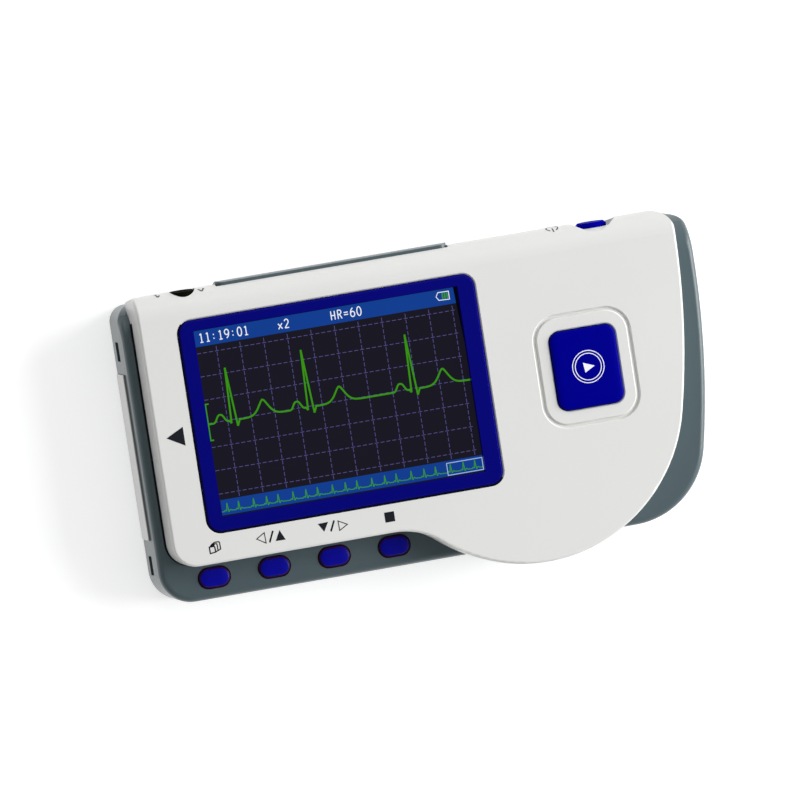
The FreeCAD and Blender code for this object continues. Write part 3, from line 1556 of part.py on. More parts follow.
def buzzer():
    return rod("buzzer", s.buzzer_x, s.buzzer_y, s.main_board_level - s.buzzer_thick,
               s.buzzer_radius, s.buzzer_thick)


def processor():
    half = s.chip_size / 2
    low = main_board_face()
    return box("processor", s.chip_x - half, s.chip_x + half, s.chip_y - half, s.chip_y + half,
               low, low + s.chip_thick)


def signal_shield():
    """The pressed metal can over the heart signal amplifier."""
    body = new_body("signal_shield")
    low = main_board_face()
    sketch = new_sketch(body, "outline", lift=low)
    across, up = s.shield_length / 2, s.shield_height / 2
    rounded_rectangle(sketch, s.shield_x - across, s.shield_x + across, s.shield_y - up,
                      s.shield_y + up, size_of(1.0))
    pad(body, sketch, s.shield_thick)
    top = low + s.shield_thick
    chamfer(body, size_of(0.4), lambda edge: lies_at(edge, "z", top))
    return body


def board_link():
    """The connector that joins the two boards through the frame's window."""
    across, up = s.link_length / 2, s.link_width / 2
    return box("board_link", s.link_x - across, s.link_x + across, s.link_y - up,
               s.link_y + up, main_board_face(), display_board_level())


# ----------------------------------------------------------------------------- battery
def cell(label, y, facing):
    """One small round cell lying along X; facing is 1 when its button end points to +X."""
    middle = (s.bay_left + s.bay_right) / 2
    whole = s.cell_length + s.cell_nub
    start = middle - whole / 2
    can_start = start if facing > 0 else start + s.cell_nub
    nub_start = start + s.cell_length if facing > 0 else start
    can = rod(label + "_can", can_start, y, s.cell_level, s.cell_radius, s.cell_length, "x")
    nub = rod(label + "_nub", nub_start, y, s.cell_level, s.cell_nub_radius, s.cell_nub, "x")
    return join(label, [can, nub])


def battery_contacts(label, wall_x, side):
    """A metal strip on one end wall of the bay with a sprung bow for each cell."""
    thick = s.contact_thick
    middle = (s.bay_left + s.bay_right) / 2
    reach = (s.bay_right - s.bay_left) / 2 - (s.cell_length + s.cell_nub) / 2
    face = wall_x + side * thick
    tip = wall_x + side * reach
    low_y = s.cell_upper_y - s.cell_pitch - 3.6
    strip = box(label + "_strip", wall_x if side > 0 else face, face if side > 0 else wall_x,
                low_y, s.cell_upper_y + 3.6, s.contact_low, s.contact_high)
    pieces = [strip]
    for number in range(2):
        y = s.cell_upper_y - s.cell_pitch * number
        bow = new_body("%s_bow_%d" % (label, number))
        sketch = new_sketch(bow, "bow", "XZ_Plane", -(y + 1.8))
        inner = tip - side * thick
        polygon(sketch, [(face - side * 0.1, s.cell_level - 2.8), (face, s.cell_level - 3.2),
                         (tip, s.cell_level - 0.8), (tip, s.cell_level + 0.8),
                         (face, s.cell_level + 3.2), (face - side * 0.1, s.cell_level + 2.8),
                         (inner, s.cell_level + 0.6), (inner, s.cell_level - 0.6)])
        pad(bow, sketch, size_of(3.6))
        pieces.append(bow)
    return join(label, pieces)


# ----------------------------------------------------------------------------- electrodes
def left_electrode():
    """The long metal plate let into the left end, with a tab through the wall."""
    body = new_body("left_electrode")
    outer = s.shell_left - s.plate_proud
    sketch = new_sketch(body, "plate", "YZ_Plane", outer)
    rectangle(sketch, s.left_plate_bottom, s.left_plate_top, s.plate_low, s.plate_high)
    pad(body, sketch, s.plate_proud + s.plate_inset)
    fillet(body, s.plate_round, lambda edge: lies_at(edge, "x", outer))
    tab = new_sketch(body, "tab", "YZ_Plane", s.shell_left + s.plate_inset)
    middle = (s.plate_low + s.plate_high) / 2
    rectangle(tab, s.left_tab_y - s.tab_width / 2, s.left_tab_y + s.tab_width / 2,
              middle - s.tab_thick / 2, middle + s.tab_thick / 2)
    pad(body, tab, s.shell_wall - s.plate_inset + 1.0)
    return body


def right_electrode():
    """The metal plate that follows the bowed right side."""
    body = new_body("right_electrode")
    sketch = new_sketch(body, "plate", lift=s.plate_low)
    side_band(sketch, s.shell_side_radius - s.plate_inset, s.shell_side_radius + s.plate_proud,
              s.right_plate_bottom, s.right_plate_top)
    pad(body, sketch, s.plate_high - s.plate_low)
    tab = new_sketch(body, "tab", lift=(s.plate_low + s.plate_high - s.tab_thick) / 2)
    inner = s.shell_right - s.shell_wall - s.tab_reach
    rectangle(tab, inner, s.shell_right - s.plate_inset - s.tab_root,
              s.right_tab_y - s.tab_width / 2, s.right_tab_y + s.tab_width / 2)
    pad(body, tab, s.tab_thick)
    return body


def back_electrode():
    """The oblong metal plate flush in the back, under the right hand's fingers."""
    body = new_body("back_electrode")
    sketch = new_sketch(body, "plate")
    x, y = s.back_plate_x, s.back_plate_y
    across, up = s.back_plate_length / 2, s.back_plate_height / 2
    rounded_rectangle(sketch, x - across, x + across, y - up, y + up, s.back_plate_corner)
    pad(body, sketch, s.back_plate_thick)
    tab = new_sketch(body, "tab")
    low = y - up + 0.4
    rectangle(tab, x - s.tab_width / 2, x + s.tab_width / 2, low, low + s.tab_thick)
    pad(body, tab, s.shell_wall + 1.0)
    return body


def electrode_contacts():
    """Small sprung blocks that join the side plates' tabs to the lower board."""
    middle = (s.plate_low + s.plate_high + s.tab_thick) / 2
    width = s.tab_width / 2
    left_x = s.shell_left + s.shell_wall
    left = box("left_contact", left_x + 0.2, left_x + 4.2, s.left_tab_y - width,
               s.left_tab_y + width, middle, s.main_board_level)
    right_x = s.shell_right - s.shell_wall - s.tab_reach
    right = box("right_contact", right_x - s.tab_reach, right_x + s.tab_thick, s.right_tab_y - width,
                s.right_tab_y + width, middle, s.main_board_level)
    return group("electrode_contacts", [left, right])


# ----------------------------------------------------------------------------- screws
def screws(label, spots, head_low, head_radius, head_thick, radius, top):
    """A group of slotted hexagonal screws whose shanks point to the front."""
    parts = []
    for number, (x, y) in enumerate(spots):
        head = prism("%s_head_%d" % (label, number), x, y, head_low, head_radius, head_thick, 6)
        shank = prism("%s_shank_%d" % (label, number), x, y, head_low, radius, top - head_low, 12)
        drive = box("%s_drive_%d" % (label, number), x - head_radius, x + head_radius, y - 0.2,
                    y + 0.2, head_low, head_low + 0.4)
        whole = join("%s_whole_%d" % (label, number), [head, shank])
        parts.append(cut("%s_%d" % (label, number), whole, drive))
    return group(label, parts)


def case_screws():
    return screws("case_screws", case_screw_spots(), s.screw_sink, s.screw_head_radius,
                  s.screw_head_thick, s.screw_radius, s.frame_face + s.screw_reach)


def display_screws():
    return screws("display_screws", display_screw_spots(),
                  display_board_level() - s.board_screw_head_thick, s.board_screw_head,
                  s.board_screw_head_thick, s.board_screw_radius, roof() - 0.3)


def board_screws():
    """Three screws that hold the lower board down on its posts, heads to the front."""
    parts = []
    for number, (x, y) in enumerate(board_screw_spots()):
        top = main_board_face()
        head = prism("board_head_%d" % number, x, y, top, s.board_screw_head,
                     s.board_screw_head_thick, 6)
        low = s.shell_wall + 1.0
        shank = prism("board_shank_%d" % number, x, y, low, s.board_screw_radius, top - low, 12)
        parts.append(join("board_screw_%d" % number, [head, shank]))
    return group("board_screws", parts)


KEY_NAMES = ["records_key", "up_key", "down_key", "stop_key"]
nodes = [
    rear_shell(), mid_frame(), front_cover(), battery_door(),
    display_bezel(), display_lens(), lcd_module(),
    start_button(), power_button(),
    display_board(), main_board(), board_link(), processor(), signal_shield(), buzzer(),
    key_switches(), start_switch(), power_switch(), lead_socket(),
    cell("upper_cell", s.cell_upper_y, 1),
    cell("lower_cell", s.cell_upper_y - s.cell_pitch, -1),
    battery_contacts("left_battery_contact", s.bay_left, 1),
    battery_contacts("right_battery_contact", s.bay_right, -1),
    left_electrode(), right_electrode(), back_electrode(), electrode_contacts(),
    case_screws(), display_screws(), board_screws(),
]
for name, (x, y) in zip(KEY_NAMES, key_centres()):
    nodes.append(key(name, x, y))
document.recompute()

for item in document.Objects:
    if "Invalid" in item.State or "Error" in item.State:
        raise RuntimeError(item.Label + " did not recompute")
for item in nodes:
    if item.Shape.isNull() or not item.Shape.isValid():
        raise RuntimeError(item.Label + " has no valid shape")

os.makedirs("parts", exist_ok=True)
for item in nodes:
    item.Shape.exportStep("parts/%s.step" % item.Label)
    print("%-22s solids %d  volume %.1f" % (item.Label, len(item.Shape.Solids), item.Shape.Volume))
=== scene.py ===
"""Dresses the handheld heart monitor: finishes for its solids, its lit display picture, printed
marks and softly rounded keys. Sizes are in millimetres, and new_piece turns them into the metres
of the part's own frame: +X along its length, +Y to its rolled edge, +Z out of the display."""

import math

import bpy
import numpy as np
from mathutils import Matrix, Vector


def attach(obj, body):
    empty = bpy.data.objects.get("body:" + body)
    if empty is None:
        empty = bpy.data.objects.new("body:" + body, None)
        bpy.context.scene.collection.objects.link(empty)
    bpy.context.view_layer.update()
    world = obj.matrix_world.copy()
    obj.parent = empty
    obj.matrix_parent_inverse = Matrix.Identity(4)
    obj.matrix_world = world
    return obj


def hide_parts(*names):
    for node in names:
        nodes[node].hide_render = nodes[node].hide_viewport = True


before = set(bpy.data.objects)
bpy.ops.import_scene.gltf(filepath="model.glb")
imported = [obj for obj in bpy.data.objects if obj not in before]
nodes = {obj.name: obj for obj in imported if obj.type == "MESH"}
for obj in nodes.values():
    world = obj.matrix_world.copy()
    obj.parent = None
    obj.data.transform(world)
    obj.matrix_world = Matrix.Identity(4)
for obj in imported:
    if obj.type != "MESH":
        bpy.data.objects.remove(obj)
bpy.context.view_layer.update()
MM = 0.001

# Heights of the surfaces that the pieces below sit on.
LEDGE, SCREEN, GROOVE_FLOOR, FACE = 13.0, 18.9, 19.78, 20.0


# ---------------------------------------------------------------- meshes from arrays
def new_piece(name, points, faces, material, body="case", smooth=True):
    """A mesh object from an (n, 3) array of points in millimetres and its faces."""
    mesh = bpy.data.meshes.new(name)
    corners = (np.asarray(points, float) * MM).tolist()
    mesh.from_pydata(corners, [], [list(map(int, face)) for face in faces])
    mesh.validate()
    mesh.update()
    mesh.polygons.foreach_set("use_smooth", np.full(len(mesh.polygons), smooth))
    piece = bpy.data.objects.new(name, mesh)
    bpy.context.scene.collection.objects.link(piece)
    mesh.materials.append(material)
    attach(piece, body)
    return piece


def grid_faces(rows, columns, looped=False):
    """Quads between neighbouring rows of closed columns; with looped, the last row joins the
    first."""
    down = rows if looped else rows - 1
    row, column = np.meshgrid(np.arange(down), np.arange(columns), indexing="ij")
    after, below = (column + 1) % columns, (row + 1) % rows
    quads = np.stack([row * columns + column, row * columns + after,
                      below * columns + after, below * columns + column], -1)
    return quads.reshape(-1, 4).tolist()


def rounded_rectangle(cx, cy, half_x, half_y, radius, per_corner=12):
    """Points round a rectangle with arc corners, counter-clockwise: each corner is its own
    centre plus the radius times (cos, sin) of an even quarter turn."""
    turn = np.linspace(0.0, math.pi / 2, per_corner)
    start = np.arange(4)[:, None] * math.pi / 2
    angle = start + turn[None, :]
    sign_x = np.array([1, -1, -1, 1])[:, None]
    sign_y = np.array([1, 1, -1, -1])[:, None]
    x = cx + sign_x * (half_x - radius) + radius * np.cos(angle)
    y = cy + sign_y * (half_y - radius) + radius * np.sin(angle)
    return np.stack([x.ravel(), y.ravel()], -1)


def ring_stack(name, rings, material, body="case", capped=True):
    """A solid of closed rings of equal length, stacked in order from bottom to top. With
    capped, flat faces close the first and the last ring; without, those two rings are joined."""
    columns = len(rings[0])
    faces = grid_faces(len(rings), columns, looped=not capped)
    if capped:
        faces.append(list(range(columns - 1, -1, -1)))
        last = (len(rings) - 1) * columns
        faces.append(list(range(last, last + columns)))
    return new_piece(name, np.concatenate(rings), faces, material, body)


def at_level(outline, z):
    """An outline of (x, y) points lifted to a height."""
    return np.column_stack([outline, np.full(len(outline), z)])


def band_sides(path, width, closed):
    """The two edges of a line: every point moves by half the width, which is one value or a
    column of them, along the mitre (n1 + n2) / (1 + n1.n2) of the left normals of the segments
    that meet in it."""
    path = np.asarray(path, float)
    if closed:
        before, after = path - np.roll(path, 1, 0), np.roll(path, -1, 0) - path
    else:
        step = np.diff(path, axis=0)
        before, after = np.vstack([step[:1], step]), np.vstack([step, step[-1:]])
    first, second = (np.column_stack([-way[:, 1], way[:, 0]])
                     / np.linalg.norm(way, axis=1, keepdims=True) for way in (before, after))
    together = np.maximum(1.0 + (first * second).sum(1, keepdims=True), 0.35)
    shift = (first + second) / together * width / 2
    return path + shift, path - shift


def unbroken(path):
    """The parts of a path between its corners sharper than a right angle."""
    path = np.asarray(path, float)
    step = np.diff(path, axis=0)
    step /= np.linalg.norm(step, axis=1, keepdims=True)
    sharp = np.flatnonzero((step[:-1] * step[1:]).sum(1) < 0.0) + 1
    limits = [0, *sharp, len(path) - 1]
    return [path[low:high + 1] for low, high in zip(limits[:-1], limits[1:])]


def lines(name, paths, width, z, material, body="case", closed=False, thickness=0.02, slot=None,
          place=None):
    """Raised lines on height z in one mesh: each path is a four-sided band, closed to a loop or
    cut at its sharp corners, with square ends. A place function may bend the finished mesh. It
    mirrors the axes, so the faces turn round for it."""
    points, faces, count = [], [], 0
    pieces = paths if closed else [part for path in paths for part in unbroken(path)]
    for path in pieces:
        left, right = band_sides(path, width, closed)
        corners = [at_level(left, z), at_level(left, z + thickness),
                   at_level(right, z + thickness), at_level(right, z)]
        points.append(np.stack(corners, 1).reshape(-1, 3))
        total = len(points[-1])
        quads = np.asarray(grid_faces(len(left), 4, looped=closed))
        if not closed:
            quads = np.vstack([quads, [[3, 2, 1, 0], list(total - 4 + np.arange(4))]])
        faces.extend((quads + count).tolist())
        count += total
    points = np.concatenate(points)
    if place:
        points, faces = place(points), [face[::-1] for face in faces]
    return new_piece(name, points, faces, material, body, smooth=False)


def plates(name, outlines, z, material, body="case", thickness=0.02, slot=None):
    """Thin flat plates on height z in one mesh, each from its own counter-clockwise outline."""
    points, faces, count = [], [], 0
    for outline in outlines:
        outline = np.asarray(outline, float)
        total = len(outline)
        points += [at_level(outline, z), at_level(outline, z + thickness)]
        faces.extend((np.asarray(grid_faces(2, total)) + count).tolist())
        faces.append([count + k for k in range(total - 1, -1, -1)])
        faces.append([count + total + k for k in range(total)])
        count += total * 2
    return new_piece(name, np.concatenate(points), faces, material, body, smooth=False)


def oblong(left, right, low, high):
    """The outline of a rectangle between four limits, counter-clockwise."""
    return [(left, low), (right, low), (right, high), (left, high)]


def arc(cx, cy, rx, ry, start, end, count=14):
    """Points of an elliptic arc: the centre plus (rx cos a, ry sin a) for even angles a in
    degrees."""
    angle = np.radians(np.linspace(start, end, count))
    return np.column_stack([cx + rx * np.cos(angle), cy + ry * np.sin(angle)])


def dashes(start, end, dash, gap):
    """Short straight pieces of a dashed line from start towards end."""
    start, end = np.asarray(start, float), np.asarray(end, float)
    length = np.linalg.norm(end - start)
    way = (end - start) / length
    first = np.arange(0.0, length - dash, dash + gap)
    return [np.array([start + way * at, start + way * (at + dash)]) for at in first]


# ---------------------------------------------------------------- node helpers
def node_tree(name):
    """A new material with its node tree and its shader."""
    material = bpy.data.materials.new(name)
    material.use_nodes = True
    tree = material.node_tree
    shader = tree.nodes["Principled BSDF"]
    return material, tree, shader


def grain_group():
    """Fine moulded grain: a height from noise, a mask of faint soiling, at two scales."""
    group = bpy.data.node_groups.new("moulded grain", "ShaderNodeTree")
    for name, value in (("Grain Scale", 900.0), ("Cloud Scale", 30.0)):
        socket = group.interface.new_socket(name, in_out="INPUT", socket_type="NodeSocketFloat")
        socket.default_value = value
    group.interface.new_socket("Height", in_out="OUTPUT", socket_type="NodeSocketFloat")
    group.interface.new_socket("Cloud", in_out="OUTPUT", socket_type="NodeSocketFloat")
    inside = group.nodes.new("NodeGroupInput")
    outside = group.nodes.new("NodeGroupOutput")
    place = group.nodes.new("ShaderNodeTexCoord")
    fine = group.nodes.new("ShaderNodeTexNoise")
    fine.inputs["Detail"].default_value = 3.0
    cloud = group.nodes.new("ShaderNodeTexNoise")
    cloud.inputs["Detail"].default_value = 2.0
    group.links.new(place.outputs["Object"], fine.inputs["Vector"])
    group.links.new(place.outputs["Object"], cloud.inputs["Vector"])
    group.links.new(inside.outputs["Grain Scale"], fine.inputs["Scale"])
    group.links.new(inside.outputs["Cloud Scale"], cloud.inputs["Scale"])
    group.links.new(fine.outputs["Fac"], outside.inputs["Height"])
    group.links.new(cloud.outputs["Fac"], outside.inputs["Cloud"])
    return group


def tint(tree, factor, dark, light):
    """Mixes two colours by a factor output and returns the colour output."""
    mix = tree.nodes.new("ShaderNodeMix")
    mix.data_type = "RGBA"
    mix.inputs["A"].default_value = (*dark, 1)
    mix.inputs["B"].default_value = (*light, 1)
    tree.links.new(factor, mix.inputs["Factor"])
    return mix.outputs["Result"]


def span(tree, factor, low, high):
    """Maps a factor output to a range of values."""
    node = tree.nodes.new("ShaderNodeMapRange")
    node.inputs["To Min"].default_value = low
    node.inputs["To Max"].default_value = high
    tree.links.new(factor, node.inputs["Value"])
    return node.outputs["Result"]


def srgb(*levels):
    """Screen levels 0 to 255 as linear colour."""
    values = np.asarray(levels, float) / 255
    linear = np.where(values <= 0.04045, values / 12.92, ((values + 0.055) / 1.055) ** 2.4)
    return tuple(float(v) for v in linear)


def plastic(name, dark, light, rough, grain=900.0, specular=0.5):
    """Moulded plastic: its colour drifts a little, and a fine grain breaks its gloss. A span of
    roughness that stays on one side of 0.274 keeps the denoiser from outlining the drift."""
    material, tree, shader = node_tree(name)
    group = tree.nodes.new("ShaderNodeGroup")
    group.node_tree = GRAIN
    group.inputs["Grain Scale"].default_value = grain
    group.inputs["Cloud Scale"].default_value = 35.0
    tree.links.new(tint(tree, group.outputs["Cloud"], dark, light), shader.inputs["Base Color"])
    tree.links.new(span(tree, group.outputs["Cloud"], rough - 0.03, rough + 0.03),
                   shader.inputs["Roughness"])
    relief = tree.nodes.new("ShaderNodeBump")
    relief.inputs["Strength"].default_value = 0.4
    relief.inputs["Distance"].default_value = 0.00002
    tree.links.new(group.outputs["Height"], relief.inputs["Height"])
    tree.links.new(relief.outputs["Normal"], shader.inputs["Normal"])
    shader.inputs["Specular IOR Level"].default_value = specular
    return material


def metal(name, colour, rough, stretch=(1.0, 1.0, 1.0)):
    """Satin metal: brushed streaks from noise stretched along one axis."""
    material, tree, shader = node_tree(name)
    place = tree.nodes.new("ShaderNodeTexCoord")
    mapping = tree.nodes.new("ShaderNodeMapping")
    mapping.inputs["Scale"].default_value = stretch
    noise = tree.nodes.new("ShaderNodeTexNoise")
    noise.inputs["Scale"].default_value = 900.0
    tree.links.new(place.outputs["Object"], mapping.inputs["Vector"])
    tree.links.new(mapping.outputs["Vector"], noise.inputs["Vector"])
    shade = tuple(v * 0.86 for v in colour)
    tree.links.new(tint(tree, noise.outputs["Fac"], shade, colour), shader.inputs["Base Color"])
    tree.links.new(span(tree, noise.outputs["Fac"], rough - 0.06, rough + 0.08),
                   shader.inputs["Roughness"])
    shader.inputs["Metallic"].default_value = 1.0
    return material


def print_ink(name, colour, rough=0.5):
    """Matt printing that is faded a little in soft patches."""
    material, tree, shader = node_tree(name)
    group = tree.nodes.new("ShaderNodeGroup")
    group.node_tree = GRAIN
    faded = tuple(min(1.0, v * 1.25 + 0.01) for v in colour)
    tree.links.new(tint(tree, group.outputs["Cloud"], colour, faded), shader.inputs["Base Color"])
    tree.links.new(span(tree, group.outputs["Height"], rough - 0.05, rough + 0.05),
                   shader.inputs["Roughness"])
    shader.inputs["Specular IOR Level"].default_value = 0.12
    return material


def lit(name, colour):
    """A glowing part of the display: mostly its own light, under a matt film."""
    material, tree, shader = node_tree(name)
    group = tree.nodes.new("ShaderNodeGroup")
    group.node_tree = GRAIN
    group.inputs["Cloud Scale"].default_value = 60.0
    dim = tuple(v * 0.9 for v in colour)
    tree.links.new(tint(tree, group.outputs["Cloud"], dim, colour), shader.inputs["Emission Color"])
    shader.inputs["Emission Strength"].default_value = 1.0
    shader.inputs["Base Color"].default_value = (0.001, 0.001, 0.0012, 1)
    shader.inputs["Specular IOR Level"].default_value = 0.03
    shader.inputs["Roughness"].default_value = 0.4
    return material


GRAIN = grain_group()
COVER_WHITE = plastic("cover white", srgb(222, 222, 219), srgb(226, 226, 223), 0.36)
HOUSING_GREY = plastic("housing grey", srgb(72, 87, 92), srgb(76, 91, 96), 0.31)
BEZEL_BLUE = plastic("bezel blue", srgb(3, 3, 112), srgb(6, 6, 118), 0.31, specular=0.05)
KEY_BLUE = plastic("key blue", srgb(0, 0, 134), srgb(2, 1, 140), 0.34, specular=0.02)
SIDE_KEY_BLUE = plastic("side key blue", srgb(2, 0, 148), srgb(5, 2, 156), 0.5, specular=0.003)
BLACK = plastic("black moulding", srgb(18, 18, 19), srgb(26, 26, 28), 0.45)
BOARD_GREEN = plastic("solder mask green", srgb(12, 84, 44), srgb(18, 98, 52), 0.35, grain=300.0)
CELL_JACKET = plastic("cell jacket", srgb(24, 30, 38), srgb(34, 42, 52), 0.34, grain=400.0)
LENS_DARK = plastic("lens dark", srgb(26, 24, 36), srgb(30, 28, 40), 0.18, specular=0.1)
ELECTRODE = metal("electrode steel", srgb(178, 179, 177), 0.34, (1.0, 0.06, 1.0))
TINNED = metal("tinned steel", srgb(196, 196, 192), 0.34, (0.1, 1.0, 1.0))
SPRING = metal("spring steel", srgb(205, 203, 196), 0.34, (1.0, 1.0, 0.1))
SCREW = metal("zinc screw", srgb(170, 171, 172), 0.35)
SOCKET_BLACK = plastic("socket black", srgb(12, 12, 6), srgb(17, 17, 10), 0.8, specular=0.005)
# painted shade: the near-black of the shadow in the groove round the display frame
GAP_PAINTED_SHADE = plastic("shaded gap", srgb(5, 5, 16), srgb(9, 9, 22), 0.6, specular=0.03)
# painted shade: the dark of the contact shadow at the foot of the front cover
FOOT_PAINTED_SHADE = plastic("shaded foot", srgb(16, 22, 26), srgb(21, 28, 32), 0.6, specular=0.03)
OVAL_BLUE = plastic("oval key blue", srgb(0, 0, 140), srgb(4, 2, 152), 0.31, specular=0.14)
# painted shade: dark maroon for the shaded gap and side round the oval keys
RIM_MAROON_SHADE = plastic("shaded key rim", srgb(40, 2, 34), srgb(54, 4, 42), 0.4, specular=0.1)
NAVY_INK = print_ink("navy printing", srgb(10, 15, 24))
FAINT_INK = print_ink("faint printing", srgb(84, 88, 94))
PALE_INK = print_ink("pale printing", srgb(232, 230, 252), 0.4)
SCREEN_DARK = lit("screen dark", srgb(24, 22, 33))
BAR_BLUE = lit("screen blue", srgb(16, 62, 146))
GRID_VIOLET = lit("screen grid", srgb(84, 79, 138))
TRACE_GREEN = lit("screen green", srgb(56, 148, 14))
# painted shade: the near-black of the shadow the display frame throws on the picture
SCREEN_SHADE_PAINT = lit("screen edge", srgb(3, 3, 12))
PALE_BLUE = lit("screen pale blue", srgb(170, 196, 236))
LIT_WHITE = lit("screen white", srgb(240, 244, 248))

FINISH = {
    "front_cover": COVER_WHITE, "rear_shell": HOUSING_GREY, "mid_frame": HOUSING_GREY,
    "battery_door": HOUSING_GREY, "display_bezel": BEZEL_BLUE, "display_lens": LENS_DARK,
    "lcd_module": TINNED, "start_button": KEY_BLUE, "records_key": KEY_BLUE,
    "up_key": KEY_BLUE, "down_key": KEY_BLUE, "stop_key": KEY_BLUE, "power_button": SIDE_KEY_BLUE,
    "display_board": BOARD_GREEN, "main_board": BOARD_GREEN, "board_link": BLACK,
    "processor": BLACK, "signal_shield": TINNED, "buzzer": BLACK, "key_switches": TINNED,
    "start_switch": TINNED, "power_switch": BLACK, "lead_socket": SOCKET_BLACK,
    "upper_cell": CELL_JACKET, "lower_cell": CELL_JACKET, "left_battery_contact": SPRING,
    "right_battery_contact": SPRING, "left_electrode": ELECTRODE, "right_electrode": ELECTRODE,
    "back_electrode": ELECTRODE, "electrode_contacts": SPRING, "case_screws": SCREW,
    "display_screws": SCREW, "board_screws": SCREW,
}
for name, material in FINISH.items():
    slots = nodes[name].data.materials
    slots.clear()
    slots.append(material)


# ---------------------------------------------------------------- figures of the readings
def figure_strokes():
    """The strokes of the readings' characters in a box 0.56 wide and 1 high."""
    ring = arc(0.28, 0.5, 0.24, 0.5, 0, 360, 25)
    loop = arc(0.28, 0.70, 0.24, 0.30, 0, 360, 21)
    tail = arc(0.10, 0.66, 0.42, 0.66, 0, -75, 9)
    turned = np.array([0.56, 1.0])
    bowl = np.vstack([[(0.10, 1.0)], arc(0.30, 0.76, 0.20, 0.24, 90, -90, 11), [(0.10, 0.52)]])
    return {
        "1": [[(0.14, 0.84), (0.30, 1.0), (0.30, 0.0)], [(0.12, 0.0), (0.48, 0.0)]],
        "9": [loop, tail],
        "6": [turned - loop, turned - tail],
        "0": [ring],
        "2": [np.vstack([arc(0.28, 0.72, 0.22, 0.28, 165, -40, 12), [(0.05, 0.02), (0.52, 0.02)]])],
        ":": [[(0.24, 0.16), (0.24, 0.30)], [(0.24, 0.60), (0.24, 0.74)]],
        "x": [[(0.04, 0.0), (0.50, 0.62)], [(0.04, 0.62), (0.50, 0.0)]],
        "=": [[(0.04, 0.36), (0.52, 0.36)], [(0.04, 0.62), (0.52, 0.62)]],
        "H": [[(0.08, 0.0), (0.08, 1.0)], [(0.50, 0.0), (0.50, 1.0)], [(0.08, 0.5), (0.50, 0.5)]],
        "R": [[(0.10, 0.0), (0.10, 1.0)], bowl, [(0.28, 0.52), (0.54, 0.0)]],
    }


def reading(signs, x, y, advance, height):
    """The strokes of a row of characters that starts at (x, y), one every advance along x."""
    strokes = figure_strokes()
    return [np.array([x + advance * place, y]) + np.asarray(stroke, float) * height
            for place, sign in enumerate(signs) for stroke in strokes[sign]]


# ---------------------------------------------------------------- the lit picture
# The picture's left, right, lower and upper limits; the beats of its large trace, each with the
# height of its peak; and the corners of a beat's spike, counted from the peak along x.
PICTURE = (-47.85, 9.42, -13.2, 26.4)
BEATS = ((-42.2, 11.2), (-25.6, 12.2), (-3.1, 11.7))
SPIKE = (-0.7, -0.35, 0.0, 0.92, 1.5)


def heart_trace(x):
    """Height of the large trace: a level line with, for each beat at R, a soft P wave before
    it, straight-sided Q, R and S strokes, and a broad T wave after it."""
    level = np.full(len(x), 6.4)
    for beat, peak in BEATS:
        level += 1.6 * np.exp(-np.abs((x - beat + 2.55) / 0.95) ** 3)
        level += 3.3 * np.exp(-np.abs((x - beat - 6.9) / 1.5) ** 1.6)
        level += np.interp(x - beat, SPIKE, [0.0, -0.55, peak, -1.3, 0.0])
    return level


def trace_stations():
    """Where the large trace is drawn: even steps plus the exact corners of every beat, without
    the even steps that lie close to a corner."""
    first, last, step, close = -47.36, 9.4, 0.3, 0.12
    corners = np.array([beat + shift for beat, _ in BEATS for shift in SPIKE])
    x = np.union1d(np.append(np.arange(first, last - 0.1, step), last), corners)
    gap = np.abs(x[:, None] - corners).min(1)
    return x[(gap < 1e-9) | (gap > close)]


def screen_grid():
    """Dashes of the picture's grid: the dashes of each line along x are centred on the lines
    that it crosses."""
    first, pitch, dash, gap, upright_gap = -43.3, 5.125, 0.85, 0.431, 0.39
    top, foot, right = 22.4, -9.6, PICTURE[1] - 0.3
    start = first - 0.4 - 3 * (dash + gap)
    pieces = []
    for x in first + pitch * np.arange(11):
        pieces += dashes((x, top), (x, foot), dash, upright_gap)
    for y in (21.4, 16.5, 11.55, 6.6, 1.5, -3.45, -8.4):
        pieces += dashes((start, y), (right, y), dash, gap)
    return pieces


def small_beats():
    """The overview row of beats: a sharp peak and two low waves each, on a level line. The
    beats repeat in threes."""
    level, left, right, last = -12.2, -47.5, 9.3, 8.0
    beat = np.array([(-0.75, 0.0), (-0.5, 0.3), (-0.25, 0.0), (0.0, 1.75), (0.2, -0.2), (0.55, 0.3),
                     (0.9, 0.05)])
    start = (-46.21 + 8.56 * np.arange(7)[:, None] + np.array([0.0, 2.5, 5.75])).ravel()
    peaks = [beat + (x, level) for x in start[start < last]]
    return np.vstack([[(left, level)], *peaks, [(right, level)]])


